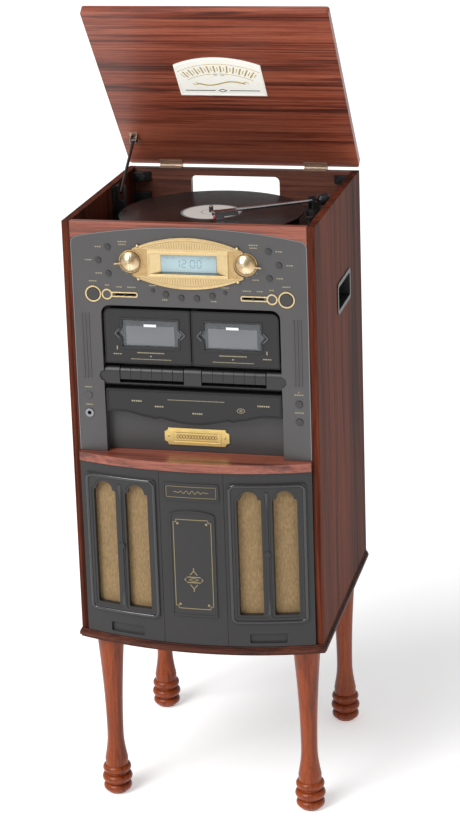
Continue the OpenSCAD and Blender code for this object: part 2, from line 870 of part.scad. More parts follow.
module door_lug_bore(s) {
    x = deck_x + s * (holder_x + holder_t + lug_w / 2 + gap);
    translate([x - lug_w, door_axis_y, door_axis_z]) rotate([0, 90, 0])
        cylinder(h = 2 * lug_w, r = door_pin_r + fit);
}

// pointed lens of two arcs between the knobs
module lens(half, rise) {
    r = (half * half + rise * rise) / (2 * rise);
    intersection() {
        translate([0, rise - r]) circle(r, $fn = 180);
        translate([0, r - rise]) circle(r, $fn = 180);
    }
}

module escutcheon_outline(inset) {
    difference() {
        intersection() {
            lens(lens_half * 1.42, lens_rise - inset);
            square([2 * (lens_half - inset), 4 * lens_rise], center = true);
        }
        mirrored_2d() translate([knob_gap / 2, 0]) circle(knob_d / 2 + 3 + inset);
    }
}

module mirrored_2d() {
    children();
    mirror([1, 0]) children();
}

module escutcheon() {
    z = zt - knob_drop - 1;
    color(brass) {
        difference() {
            union() {
                front(yf - 1, 2 - gap / 4) translate([0, z]) escutcheon_outline(0);
                front(yf - 1.8, 1) translate([0, z]) difference() {
                    escutcheon_outline(0);
                    escutcheon_outline(1.6);
                }
                // raised fields above and below the window
                front(yf - 1.7, 1) translate([0, z]) difference() {
                    escutcheon_outline(3.2);
                    square([4 * lens_half, band_h - 6], center = true);
                }
                front(yf - 2.2, 1.4) translate([0, z - 2]) difference() {
                    square([window_open_w + 8, window_open_h + 8], center = true);
                    square([window_open_w + 3, window_open_h + 3], center = true);
                }
            }
            front(yf - 4, 12) translate([0, z - 2])
                square([window_open_w - 1, window_open_h - 1], center = true);
        }
        // sloping cheeks on both sides of the display
        mirrored() intersection() {
            translate([0, 0, z - 2 - window_open_h / 2 + 0.8]) linear_extrude(window_open_h - 1.6)
                polygon([[window_open_w / 2 - 0.6, yf - 1], [window_open_w / 2 - 0.6, yf + 7.6],
                         [lcd_w / 2 + 0.4, yf + 7.6], [lcd_w / 2 + 0.4, yf + 6]]);
        }
        // bezel rings around the knobs
        mirrored() translate([knob_gap / 2, yf + 1 - gap / 4, zt - knob_drop]) rotate([90, 0, 0])
            rotate_extrude($fn = 64) translate([knob_d / 2 + 1.2, 0]) square([1.6, 1.6]);
    }
}

module display() {
    z = zt - knob_drop - 3;
    color([0.6, 0.75, 0.8]) {
        box([-window_open_w / 2 + 1, yf + 8, z - window_open_h / 2 - 3],
            [window_open_w / 2 - 1, yf + 13, z + window_open_h / 2 + 3]);
        box([-lcd_w / 2, yf + 6, z - lcd_h / 2], [lcd_w / 2, yf + 8.5, z + lcd_h / 2]);
    }
}

module brass_trims() {
    color(brass) mirrored() front(yf - 0.2, 1.2 - seat_gap) difference() {
        union() {
            translate([trim_big_x, trim_z]) circle(trim_big_r);
            translate([trim_small_x, trim_z]) circle(trim_small_r);
            rounded(trim_slot_x - trim_slot_w / 2, trim_small_x, trim_z - 4.2, trim_z + 4.2, 3);
        }
        translate([trim_big_x, trim_z]) circle(trim_big_r - ring_t);
        translate([trim_small_x, trim_z]) circle(trim_small_r - ring_t);
        rounded(trim_slot_x - trim_slot_w / 2 + 1.8, trim_small_x - trim_small_r,
                trim_z - 2.4, trim_z + 2.4, 1.5);
    }
}

module round_button(p, r, length, face) {
    translate([p[0], face, p[1]]) rotate([-90, 0, 0]) cylinder(h = length, r = r);
    translate([p[0], yf + plate_t + 1 + button_travel - 1.5, p[1]]) rotate([-90, 0, 0])
        cylinder(h = 1.5, r = r + 1);
}

module button_group(points, r) {
    color([0.22, 0.22, 0.22]) for (p = points) round_button(p, r, plate_t + 4, yf - 0.8);
}

module left_buttons() {
    button_group(trio(-1), button_d / 2);
}

module right_buttons() {
    button_group(trio(1), button_d / 2);
}

module preset_buttons() {
    button_group(presets, button_d / 2);
    button_group(preset_dots, preset_dot_r);
}

module power_button() {
    button_group([[-trim_big_x, trim_z]], round_key_r);
}

module mode_button() {
    button_group([[trim_big_x, trim_z]], round_key_r);
}

module cd_open_button() {
    button_group([lower_points[0]], lower_button_r);
}

module cd_play_button() {
    button_group([lower_points[1]], lower_button_r);
}

module slider(side) {
    x = side * trim_slot_x;
    color([0.12, 0.12, 0.12]) {
        box([x - slider_w / 2 + 1.5, yf - 1.6, trim_z - 1.3],
            [x + slider_w / 2 - 1.5, yf + plate_t + 2, trim_z + 1.3]);
        box([x - slider_w / 2, yf + plate_t + 1.4, trim_z - 3],
            [x + slider_w / 2, yf + plate_t + 3, trim_z + 3]);
    }
}

module band_slider() {
    slider(-1);
}

module function_slider() {
    slider(1);
}

// domed knob with a ridge across it and a pointer to one side
knob_skirt = 5;
knob_dome = 7;
ridge_w = 3.2;
ridge_h = 1.6;
pointer_len = 10;
pointer_w = 2.4;

module knob(side) {
    r = knob_d / 2;
    ball_r = (r * r + knob_dome * knob_dome) / (2 * knob_dome);
    ball_z = knob_skirt + knob_dome - ball_r;
    color(brass) translate([side * knob_gap / 2, yf + 0.6, zt - knob_drop]) rotate([90, 0, 0]) {
        cylinder(h = knob_skirt, r = r);
        intersection() {
            translate([0, 0, ball_z]) sphere(ball_r, $fn = 96);
            translate([0, 0, knob_skirt - 0.5]) cylinder(h = knob_dome + 1, r = r);
        }
        translate([0, 0, -16]) cylinder(h = 17, r = shaft_r);
        difference() {
            translate([-ridge_w / 2, -r * 0.8, knob_skirt - 1])
                cube([ridge_w, r * 1.6, knob_dome + 2 * ridge_h]);
            translate([0, 0, ball_z]) difference() {
                sphere(ball_r * 2, $fn = 32);
                sphere(ball_r + ridge_h, $fn = 96);
            }
        }
        rotate([0, 0, side > 0 ? -8 : 188]) translate([0, -pointer_w / 2, 3.4])
            cube([r + pointer_len, pointer_w, 3]);
    }
}

module volume_knob() {
    knob(-1);
}

module tuning_knob() {
    knob(1);
}

// notched plate with a raised frame line and two screws
name_t = 2;
name_notch_r = 6;
name_screw_r = 2.4;
name_line_w = name_w - 26;
name_line_h = name_h - 8;
name_line_t = 1.5;

module name_plate() {
    z = zt - plate_drop;
    color(brass) {
        front(recess_floor - name_t, name_t - seat_gap) translate([0, z]) difference() {
            square([name_w, name_h], center = true);
            for (x = [-1, 1] * name_w / 2, s = [-1, 1] * name_h / 2) translate([x, s]) circle(name_notch_r);
        }
        front(recess_floor - name_t - 0.8, 1) translate([0, z]) difference() {
            square([name_line_w, name_line_h], center = true);
            square([name_line_w - 2 * name_line_t, name_line_h - 2 * name_line_t], center = true);
        }
        for (x = [-1, 1] * (name_w / 2 - 6.5)) translate([x, recess_floor - 1, z]) rotate([90, 0, 0])
            cylinder(h = name_t, r = name_screw_r);
    }
}

// square-bodied socket with a round ring in front of the plate
module headphone_jack() {
    color(brass) translate([jack_point[0], 0, jack_point[1]]) rotate([-90, 0, 0]) difference() {
        union() {
            translate([0, 0, yf - 0.8]) cylinder(h = 1.6, r = jack_ring_r);
            translate([-jack_body / 2, -jack_body / 2, yf - 0.5]) cube([jack_body, jack_body, jack_len]);
        }
        translate([0, 0, yf - 2]) cylinder(h = jack_len - 1, d = jack_d);
    }
}

// ---- decks ----

// right door: its outer top corner follows the recess
module door_outline() {
    intersection() {
        rounded(door_x0 - 40, door_x0 + door_w, door_bottom - 40, door_bottom + door_h, recess_r - 3);
        translate([door_x0, door_bottom]) square([door_w, door_h]);
    }
}

module window_outline(grow) {
    z = door_bottom + door_h * 0.56;
    half = window_w / 2 + grow;
    top = window_h / 2 + grow;
    tip = window_tip;
    translate([deck_x, z]) polygon([
        for (s = [1, -1]) each [[-s * half, s * tip], [-s * half, s * top],
                                [s * half, s * top], [s * half, s * tip], [s * (half + tip), 0]]
    ]);
}

module tape_door() {
    color(charcoal) {
        difference() {
            front(door_y, door_plate_t) door_outline();
            front(door_y - 1, door_plate_t + 2) window_outline(0);
            front(door_y - 1, 3) window_outline(2.2);
        }
        // side cheeks and bottom shelf that hold a cassette
        for (s = [-1, 1]) {
            x = deck_x + s * (holder_x + holder_t / 2);
            box([x - holder_t / 2, door_y + 1, door_axis_z - 3],
                [x + holder_t / 2, door_y + holder_d, door_axis_z + 58]);
            pin_len = holder_t / 2 + lug_w - 0.2;
            translate([s > 0 ? x : x - pin_len, door_axis_y, door_axis_z]) rotate([0, 90, 0])
                cylinder(h = pin_len, r = door_pin_r);
        }
        box([deck_x - holder_x - 1, door_y + 1, door_axis_z - 1],
            [deck_x + holder_x + 1, door_y + holder_d, door_axis_z + 1]);
    }
}

module door_window() {
    color([0.45, 0.46, 0.48, 0.6]) front(door_y + 2.1, 1.6) window_outline(-gap / 4);
}

module left_tape_door() {
    mirror([1, 0, 0]) tape_door();
}

module right_tape_door() {
    tape_door();
}

module left_door_window() {
    mirror([1, 0, 0]) door_window();
}

module right_door_window() {
    door_window();
}

key_nose_r = 8;
key_pivot_r = 1.8;
key_split = 0.3;

// one cassette key: a rounded nose that rocks about its upper back edge
module key_blank(x0, x1) {
    bottom = key_axis_z - key_h + 4;
    profile(x0 + gap / 2, x1 - x0 - gap) {
        intersection() {
            union() {
                translate([key_front + key_nose_r, key_axis_z + 2 - key_nose_r]) circle(key_nose_r);
                translate([key_front, bottom]) square([key_nose_r, key_h - 10]);
            }
            translate([key_front, bottom]) square([key_axis_y - key_front - 3, key_h]);
        }
        translate([key_front + key_nose_r, key_axis_z - 3])
            square([key_axis_y - key_front - key_nose_r + 1, 5]);
    }
    translate([x0 + gap / 2, key_axis_y, key_axis_z]) rotate([0, 90, 0])
        cylinder(h = x1 - x0 - gap, r = key_pivot_r);
}

// five keys: the last one is the double record-and-play key
module deck_key(side, index) {
    left = side * deck_x - 3 * key_w;
    wide = index == 4 ? 2 : 1;
    color([0.25, 0.24, 0.24]) difference() {
        key_blank(left + index * key_w, left + (index + wide) * key_w);
        if (wide == 2) box([left + (index + 1) * key_w - key_split, yf, key_axis_z - key_h],
                           [left + (index + 1) * key_w + key_split, key_front + 3, zt]);
    }
}

// drawer front with a waved lower edge: a belly in the middle, two cusps and two shoulders
belly_half = 56;
belly_drop = 9;
cusp_w = 14;
cusp_drop = 2.5;
shoulder_w = 45;
shoulder_drop = 8;
function wave(x) = let (a = abs(x), shoulder = belly_half + cusp_w)
    a < belly_half ? -drawer_h - shoulder_drop - belly_drop * cos(90 * a / belly_half)
    : a < shoulder ? -drawer_h - shoulder_drop - cusp_drop * sin(180 * (a - belly_half) / cusp_w)
    : -drawer_h - shoulder_drop * (1 + cos(180 * min(1, (a - shoulder) / shoulder_w))) / 2;

module drawer_outline() {
    half = recess_w / 2 - 1.5;
    n = 48;
    translate([0, drawer_top]) polygon(concat([[half, 0], [-half, 0]],
        [for (i = [0 : n]) let (x = -half + 2 * half * i / n) [x, wave(x)]]));
}

tray_floor_t = 4;
lens_slot_w = 44;

module cd_drawer() {
    color(charcoal) {
        front(drawer_y, drawer_t) drawer_outline();
        difference() {
            box([-tray_w / 2, tray_start - 1, tray_z], [tray_w / 2, tray_start + tray_len, tray_z + tray_h]);
            translate([0, tray_start + tray_len / 2 - 2, tray_z + tray_floor_t])
                cylinder(h = tray_h, d = disc_d + 2, $fn = 96);
            translate([-lens_slot_w / 2, tray_start + tray_len / 2, tray_z - 1])
                cube([lens_slot_w, tray_len, tray_h + 2]);
        }
    }
}

// inner chassis: two cassette wells with their hubs, and the disc drawer's housing
module media_chassis() {
    well_low = door_axis_z + 1;
    well_high = door_bottom + door_h - 5;
    color([0.15, 0.15, 0.15]) {
        mirrored() {
            difference() {
                box([deck_x - tape_bay_w / 2 - 2, chassis_y, well_low - 2],
                    [deck_x + tape_bay_w / 2 + 2, chassis_y + tape_bay_d, well_high + 2]);
                box([deck_x - tape_bay_w / 2, chassis_y - 1, well_low],
                    [deck_x + tape_bay_w / 2, chassis_y + tape_bay_d - 2, well_high]);
            }
            for (s = [-1, 1]) translate([deck_x + s * hub_pitch / 2, chassis_y + 4, door_bottom + 38])
                rotate([-90, 0, 0]) cylinder(h = tape_bay_d - 5, r = hub_r);
            box([deck_x - 8, chassis_y + 8, well_low - 1],
                [deck_x + 8, chassis_y + tape_bay_d - 1, well_low + 10]);
        }
        difference() {
            box([-tray_w / 2 - 4, chassis_y, tray_z - 4], [tray_w / 2 + 4, chassis_y + tray_len + 12,
                                                          tray_z + tray_h + 8]);
            box([-tray_w / 2 - rail_gap, chassis_y - 1, tray_z - rail_gap],
                [tray_w / 2 + rail_gap, chassis_y + tray_len + 10, tray_z + tray_h + 6]);
        }
    }
}

// ---- lower front ----

module arch_outline(x, z, w, h, r) {
    shoulder = h - r;
    translate([x - w / 2, z]) square([w, shoulder]);
    intersection() {
        translate([x - w / 2, z]) square([w, h]);
        translate([x, z + shoulder]) resize([w, 2 * r]) circle(r, $fn = 64);
    }
}

module grille_openings(grow) {
    for (s = [-1, 1]) {
        x = frame_x + s * (arch_w + mullion_w) / 2;
        r = arch_w / 2 - 5;
        rounded(x - arch_w / 2 - grow, x + arch_w / 2 + grow,
                arch_bottom - grow, arch_bottom + arch_h - r + grow, 3);
        translate([x, arch_bottom + arch_h - r]) circle(r + grow);
    }
}

frame_rise = 2.5;
field_margin = 4;
pull_half = 29;
pull_h = 16;

module speaker_frame() {
    difference() {
        union() {
            bowed_cut(0, skin_t) translate([seam_x + gap / 2, low_z0])
                square([in_x - gap - seam_x - gap / 2, low_z1 - low_z0]);
            bowed_cut(-frame_rise, 1) difference() {
                rounded(frame_x - frame_half, frame_x + frame_half,
                        arch_bottom - 14, arch_bottom + arch_h + 12, 6);
                grille_openings(field_margin);
            }
            bowed_cut(-1.6, 1) grille_openings(field_margin);
            bowed_cut(-4, 1)
                rounded(frame_x - 1.8, frame_x + 1.8, arch_bottom + 4, arch_bottom + arch_h - 4, 1.7);
            bowed_cut(-5, 1) translate([frame_x, driver_z]) circle(5);
        }
        bowed_cut(-6, skin_t + 2) grille_openings(0);
        bowed_cut(-6, 4) translate([-3, 0])
            rounded(frame_x - pull_half, frame_x + pull_half, low_z0 + 6, low_z0 + 6 + pull_h, 3);
    }
}

module speaker_frames() {
    color(charcoal) mirrored() speaker_frame();
}

module grille_cloths() {
    color([0.55, 0.46, 0.32]) mirrored() bowed_cut(skin_t + 0.3, skin_t + 1.6)
        rounded(frame_x - frame_half + 4, frame_x + frame_half - 4,
                arch_bottom - 8, arch_bottom + arch_h + 8, 4);
}

// middle panel: a plaque at the top and an arched field below it, each with a raised border
plaque_half = seam_x - 7;
plaque_h = 29;
plaque_drop = 19;
field_half = seam_x - 15;
field_bottom = low_z0 + 49;
field_h = low_z1 - plaque_drop - plaque_h - 16.2 - field_bottom;
border_w = 3;

module plaque(inset) {
    top = low_z1 - plaque_drop;
    rounded(-plaque_half + inset, plaque_half - inset, top - plaque_h + inset, top - inset, 4 - inset / 3);
}

module centre_panel() {
    x = seam_x - gap / 2;
    color(charcoal) difference() {
        union() {
            bowed_cut(0, skin_t) translate([-x, low_z0]) square([2 * x, low_z1 - low_z0]);
            bowed_cut(-2, 1) plaque(0);
            bowed_cut(-frame_rise, 1) arch_outline(0, field_bottom, 2 * field_half, field_h, 9);
        }
        bowed_cut(-3, -1) plaque(border_w);
        bowed_cut(-4, -1.3) arch_outline(0, field_bottom + border_w, 2 * (field_half - border_w),
                                         field_h - 2 * border_w, 8);
    }
}

// loudspeaker: rim, cone, basket and magnet in one body of revolution
basket_r = 24;
basket_h = 40;
magnet_h = 18;
cone_r = 14;

module speaker() {
    r = driver_d / 2;
    back = basket_h + magnet_h;
    rotate_extrude($fn = 64) {
        polygon([[r, 0], [r, 3], [r - 10, 3], [basket_r, basket_h - driver_rim], [basket_r, basket_h],
                 [r - basket_r, basket_h], [r - basket_r, back], [0, back], [0, 20],
                 [cone_r, 18], [r - cone_r, -1], [r - 10, 0]]);
    }
}

module speakers() {
    color([0.12, 0.12, 0.12]) mirrored()
        translate([frame_x, baffle_y + panel_t + seat_gap, driver_z]) rotate([-90, 0, 0]) speaker();
}

// ---- inside and back ----

// circuit board on four stand-offs, with a transformer, three capacitors and a heat sink
board_half = 90;
board_d = 110;
board_y = yb - 150;
board_z = base_top + 10;
standoff_r = 3;
capacitor_r = 9;
capacitor_h = 34;

module power_board() {
    color([0.15, 0.35, 0.2]) {
        box([-board_half, board_y, board_z], [board_half, board_y + board_d, board_z + 1.6]);
        for (x = [-1, 1] * (board_half - 10), y = [board_y + 10, board_y + board_d - 10])
            translate([x, y, base_top + seat_gap]) cylinder(h = 12, r = standoff_r);
    }
    color("gray") {
        box([-80, board_y + 20, board_z + 1], [-20, board_y + 80, board_z + 52]);
        for (i = [0 : 2]) translate([10 + 26 * i, board_y + 80, board_z + 1])
            cylinder(h = capacitor_h, r = capacitor_r);
        box([0, board_y + 30, board_z + 1], [70, board_y + 38, board_z + 36]);
    }
}

// rear panel: a two-pin mains inlet in a housing, and four signal sockets
sleeve_r = 4.15;
sleeve_len = 9;
sleeve_bore_r = 1.6;
inlet_x = 52;
inlet_w = 22;
inlet_h = 12;
inlet_d = 14;
inlet_wall = 3;
inlet_pin_r = 1.2;
inlet_pin_gap = 8;
socket_places = [[-62, -10], [-42, -10], [-62, 10], [-42, 10]];

module rear_panel() {
    half = inlet_w / 2;
    color([0.12, 0.12, 0.12]) {
        difference() {
            front(yb + seat_gap, 2)
                rounded(-rear_w / 2, rear_w / 2, rear_z - rear_h / 2, rear_z + rear_h / 2, 3);
            front(yb - 1, 6) translate([inlet_x, rear_z]) square([inlet_w, inlet_h], center = true);
        }
        difference() {
            box([inlet_x - half - inlet_wall, yb - inlet_d, rear_z - inlet_h / 2 - inlet_wall],
                [inlet_x + half + inlet_wall, yb + 1, rear_z + inlet_h / 2 + inlet_wall]);
            box([inlet_x - half, yb - inlet_d + inlet_wall, rear_z - inlet_h / 2],
                [inlet_x + half, yb + 3, rear_z + inlet_h / 2]);
        }
        for (x = [-1, 1] * inlet_pin_gap / 2) translate([inlet_x + x, yb - inlet_d + 2, rear_z])
            rotate([-90, 0, 0]) cylinder(h = 11, r = inlet_pin_r);
        for (p = socket_places) translate([p[0], yb + 1, rear_z + p[1]]) rotate([-90, 0, 0])
            difference() {
                cylinder(h = 1 + sleeve_len, r = sleeve_r);
                translate([0, 0, 3]) cylinder(h = sleeve_len, r = sleeve_bore_r);
            }
    }
}

left_side_panel();
right_side_panel();
back_panel();
front_boards();
base_plate();
legs();
deck_board();
upper_fascia();
escutcheon();
display();
brass_trims();
name_plate();
media_chassis();
centre_panel();
speaker_frames();
grille_cloths();
speakers();
power_board();
rear_panel();
hand_grips();
hinge_leaves();
stay_bracket();
corner_fittings();
headphone_jack();
motor();
lid();
lid_badge();
lid_fittings();
stay_rod();
platter();
record();
drive_wheel();
tonearm_base();
tonearm();
volume_knob();
tuning_knob();
cd_drawer();
left_tape_door();
left_door_window();
right_tape_door();
right_door_window();
for (i = [0 : len(KEYS) - 1]) {
    deck_key(-1, i);
    deck_key(1, i);
}
left_buttons();
right_buttons();
preset_buttons();
power_button();
mode_button();
band_slider();
function_slider();
cd_open_button();
cd_play_button();
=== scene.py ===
"""Free-standing wooden music centre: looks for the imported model.

Materials and the scene are in metres, pieces are worked out in millimetres and scaled when their mesh is
made. +X to the right, +Y to the back, +Z up, origin on the floor under the cabinet.
"""

import json
import math

import bmesh
import bpy
import numpy as np
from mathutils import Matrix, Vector


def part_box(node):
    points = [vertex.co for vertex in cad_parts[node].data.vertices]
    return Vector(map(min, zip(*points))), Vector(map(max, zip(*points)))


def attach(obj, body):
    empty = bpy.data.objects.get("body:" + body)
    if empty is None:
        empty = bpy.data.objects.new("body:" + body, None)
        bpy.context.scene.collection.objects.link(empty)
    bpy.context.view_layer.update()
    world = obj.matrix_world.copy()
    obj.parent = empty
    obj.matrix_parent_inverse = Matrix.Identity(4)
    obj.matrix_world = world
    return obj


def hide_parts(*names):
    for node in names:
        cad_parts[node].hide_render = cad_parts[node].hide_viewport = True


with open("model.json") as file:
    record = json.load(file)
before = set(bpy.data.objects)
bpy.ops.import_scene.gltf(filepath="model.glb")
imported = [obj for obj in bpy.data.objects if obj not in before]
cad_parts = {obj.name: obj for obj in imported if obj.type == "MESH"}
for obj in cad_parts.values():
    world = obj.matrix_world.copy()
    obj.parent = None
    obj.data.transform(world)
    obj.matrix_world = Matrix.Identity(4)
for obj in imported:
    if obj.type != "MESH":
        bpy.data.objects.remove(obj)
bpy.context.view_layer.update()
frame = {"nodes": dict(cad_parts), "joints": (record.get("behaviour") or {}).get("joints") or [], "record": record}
MM = 0.001
FULL_TURN = 2 * math.pi


# ---- measures of the cabinet, in millimetres ----

KNOB_X = 91.5
FASCIA_Y = -194
ESCUTCHEON_FIELD_Y = -196.7
FASCIA_RISE = 19
FASCIA_CORNER = 12
BOW_HALF = 200
BOW_SAG = 34
BOW_FRONT_Y = -195
BOW_RADIUS = (BOW_HALF ** 2 + BOW_SAG ** 2) / (2 * BOW_SAG)
BOW_CENTRE_Y = BOW_FRONT_Y - BOW_SAG + BOW_RADIUS
SEAM_GAP = 0.2
GRILLE_W = 38
MULLION_W = 17
LID_INSIDE_Z = 989.5
BADGE_FOOT_Y = 8.76
TONEARM_ANGLE = 33


def box(node):
    """Lowest and highest corner of a CAD node, in millimetres."""
    return [Vector(corner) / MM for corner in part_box(node)]


def middle(node):
    low, high = box(node)
    return (low + high) / 2


def joint(name):
    return next(j for j in frame["joints"] if j["name"] == name)


# ---- shader maths ----

class Signal:
    """A socket whose arithmetic adds Math nodes to its finish."""

    def __init__(self, finish, socket):
        self.finish = finish
        self.socket = socket

    def math(self, operation, *others):
        return self.finish.add("ShaderNodeMath", {"operation": operation},
                               {i: v for i, v in enumerate((self, *others))})

    def __add__(self, other):
        return self.math("ADD", other)

    def __sub__(self, other):
        return self.math("SUBTRACT", other)

    def __mul__(self, other):
        return self.math("MULTIPLY", other)

    def __truediv__(self, other):
        return self.math("DIVIDE", other)

    def __gt__(self, other):
        return self.math("GREATER_THAN", other)

    def __lt__(self, other):
        return self.math("LESS_THAN", other)

    def __rsub__(self, other):
        return self.finish.add("ShaderNodeMath", {"operation": "SUBTRACT"}, {0: other, 1: self})

    __radd__ = __add__
    __rmul__ = __mul__


class Finish:
    """One material. add() makes any node: settings first, then the values or links of its sockets."""

    def __init__(self, name, **constants):
        self.material = bpy.data.materials.new(name)
        self.material.use_nodes = True
        self.tree = self.material.node_tree
        self.tree.nodes.clear()
        out = self.tree.nodes.new("ShaderNodeOutputMaterial")
        self.shader = self.tree.nodes.new("ShaderNodeBsdfPrincipled")
        self.tree.links.new(self.shader.outputs[0], out.inputs[0])
        self.set(**constants)

    def set(self, **values):
        """Fills sockets of the shader: base_color=... sets Base Color, and so on."""
        for key, value in values.items():
            name = key.replace("_", " ").title().replace("Ior", "IOR")
            self.feed(self.shader.inputs[name], value)

    def feed(self, socket, value):
        if isinstance(value, Signal):
            self.tree.links.new(value.socket, socket)
        elif isinstance(value, (tuple, list)) and socket.type == "RGBA" and len(value) == 3:
            socket.default_value = (*value, 1.0)
        else:
            socket.default_value = value

    def add(self, kind, settings=None, sockets=None, out=0):
        node = self.tree.nodes.new(kind)
        for key, value in (settings or {}).items():
            if key == "stops":
                self.set_stops(node.color_ramp.elements, value)
            else:
                setattr(node, key, value)
        for key, value in (sockets or {}).items():
            self.feed(node.inputs[key], value)
        return Signal(self, node.outputs[out])

    def set_stops(self, elements, stops):
        """Fills a colour ramp: each stop is a place and a colour, or a place and a grey."""
        for i, (place, colour) in enumerate(stops):
            stop = elements[i] if i < 2 else elements.new(place)
            stop.position = place
            stop.color = (*(colour if isinstance(colour, tuple) else [colour] * 3), 1.0)

    def place(self, scale=(1, 1, 1), move=(0, 0, 0)):
        """Object coordinates in metres, scaled and moved."""
        raw = self.add("ShaderNodeTexCoord", out="Object")
        return self.add("ShaderNodeMapping", {"vector_type": "POINT"},
                        {"Vector": raw, "Location": move, "Scale": scale})

    def noise(self, vector, scale, detail=2.0, rough=0.5, warp=0.0):
        return self.add("ShaderNodeTexNoise", {"noise_dimensions": "3D"},
                        {"Vector": vector, "Scale": scale, "Detail": detail, "Roughness": rough,
                         "Distortion": warp}, out="Fac")

    def ramp(self, value, *stops):
        return self.add("ShaderNodeValToRGB", {"stops": stops}, {"Fac": value})

    def blend(self, mask, under, over):
        """Colour that goes from under to over as the mask goes from 0 to 1."""
        factor, first, second = 0, 6, 7
        return self.add("ShaderNodeMix", {"data_type": "RGBA"},
                        {factor: mask, first: under, second: over}, out=2)

    def axis(self, vector, letter):
        return self.add("ShaderNodeSeparateXYZ", {}, {0: vector}, out="XYZ".index(letter))

    def ripple(self, value, pitch):
        """Sine wave along a coordinate in metres, one wave to each pitch in millimetres."""
        return (value * (FULL_TURN / (pitch * MM))).math("SINE")

    def relief(self, height=None, depth=0.3, step=0.0005, edge=0.0007):
        """Rounds the edges a little and raises a height pattern on the surface."""
        rounded = self.add("ShaderNodeBevel", {"samples": 4}, {"Radius": edge})
        if height is not None:
            rounded = self.add("ShaderNodeBump", {}, {"Strength": depth, "Distance": step,
                                                      "Height": height, "Normal": rounded})
        self.set(normal=rounded)
        return self


def srgb(r, g, b):
    """Linear colour of the three display values, 0 to 255."""
    return tuple(((c / 255 + 0.055) / 1.055) ** 2.4 if c > 10 else c / 255 / 12.92 for c in (r, g, b))


def grey(value):
    return srgb(value, value, value)


def shade(colour, factor):
    return tuple(min(1, factor * c) for c in colour)


# ---- finishes ----

def wood(name, along, deep, mid, light, streak=0.5, gloss=0.38, coat=0.25, shine=0.5):
    """Printed walnut grain that runs along one axis: broad bands, wavy dark streaks and fine pores."""
    m = Finish(name, coat_weight=coat, coat_roughness=0.22, specular_ior_level=shine)

    def stretched(across, lengthwise):
        scale = [across] * 3
        scale["XYZ".index(along)] = lengthwise
        return m.place(scale=tuple(scale))

    broad = m.noise(stretched(15, 0.9), 1.0, detail=3.0, rough=0.55, warp=0.4)
    wavy = m.noise(stretched(84, 2.3), 1.0, detail=5.0, rough=0.66, warp=0.9)
    fine = m.noise(stretched(330, 5.0), 1.0, rough=0.6)
    pores = m.noise(stretched(1500, 38.0), 1.0, detail=1.0)
    tone = m.ramp(broad * 0.34 + wavy * 0.38 + fine * 0.28, (0.38, deep), (0.49, mid), (0.6, light))
    dark = m.ramp(wavy * 0.7 + broad * 0.3, (0.39, 1.0), (0.49, 0.0))
    tone = m.blend(dark * streak, tone, shade(deep, 0.4))
    tone = m.blend(m.ramp(pores, (0.36, 1.0), (0.44, 0.0)) * 0.35, tone, shade(deep, 0.45))
    m.set(base_color=tone, roughness=gloss + fine * 0.12)
    return m.relief(pores * 0.5 + fine * 0.5, depth=0.12, step=0.0004, edge=0.0012)


def plastic(name, colour, rough=0.45, grain=2600.0, depth=0.15, edge=0.0007, coat=0.0):
    """Moulded plastic: a fine stipple, and a slight change of sheen from place to place."""
    m = Finish(name, coat_weight=coat, coat_roughness=0.15)
    stipple = m.noise(m.place(), grain)
    drift = m.noise(m.place(), 9.0)
    m.set(base_color=m.blend(drift, shade(colour, 0.86), shade(colour, 1.14)),
          roughness=rough + drift * 0.12 - 0.06)
    return m.relief(stipple, depth=depth, step=0.0002, edge=edge)


def metal(name, colour, rough=0.28, brush=(1, 1, 1), depth=0.1, tarnish=0.25):
    """Plated metal with a faint brushed direction and slightly darker, duller patches."""
    m = Finish(name, metallic=1.0)
    lines = m.noise(m.place(scale=brush), 700.0)
    dull = m.noise(m.place(), 120.0, detail=3.0)
    m.set(base_color=m.blend(dull * tarnish, colour, shade(colour, 0.55)),
          roughness=rough + lines * 0.1 + dull * 0.08)
    return m.relief(lines, depth=depth, step=0.0002, edge=0.0004)


def brass_finish(name, band=None):
    """Soft polished brass. A band (lowest z, highest z, half width) is dull bronze, and fine lines
    run through the bright fields above and below it."""
    m = Finish(name, metallic=1.0)
    where = m.place()
    dull = m.noise(where, 160.0, detail=3.0)
    bright = m.blend(dull * 0.35, srgb(226, 203, 156), srgb(166, 132, 84))
    height = dull
    if band:
        lowest, highest, half_width = band
        x, z = m.axis(where, "X"), m.axis(where, "Z")
        inside = (z > lowest) * (z < highest)
        ends = x.math("ABSOLUTE") > half_width
        lines = m.ripple(z, 1.5) * (1 - inside)
        bright = m.blend(inside * ends, bright, m.blend(dull, srgb(206, 176, 128), srgb(168, 136, 92)))
        bright = m.blend((lines * 0.5 + 0.5) * (1 - inside) * 0.35, bright, srgb(150, 116, 70))
        height = lines * 0.7 + dull
    m.set(base_color=bright, roughness=0.27 + dull * 0.16)
    return m.relief(height, depth=0.2, step=0.0002, edge=0.0005)


def knob_finish(name, node, side):
    """Spun brass: light and dark wedges round the knob's axis are painted into its colour, a painted reflection of
    the radial brushing of a turned face.
    """
    m = Finish(name, metallic=1.0)
    where = m.place(move=(-side * KNOB_X * MM, 0, -middle(node).z * MM))
    angle = m.axis(where, "Z").math("ARCTAN2", m.axis(where, "X"))
    # painted reflection: brighter and darker wedges by angle round the axis
    painted_sheen_wedges = (angle * 2.0 + 0.9).math("SINE") * 0.5 + 0.5
    fine = m.noise(m.add("ShaderNodeCombineXYZ", {}, {0: angle * 9.0}), 1.0)
    tone = m.blend(painted_sheen_wedges * 0.75, srgb(250, 234, 200), srgb(142, 106, 62))
    m.set(base_color=m.blend(fine * 0.4, tone, srgb(196, 162, 110)), roughness=0.22 + fine * 0.14)
    return m.relief(fine, depth=0.1, step=0.0002, edge=0.0006)


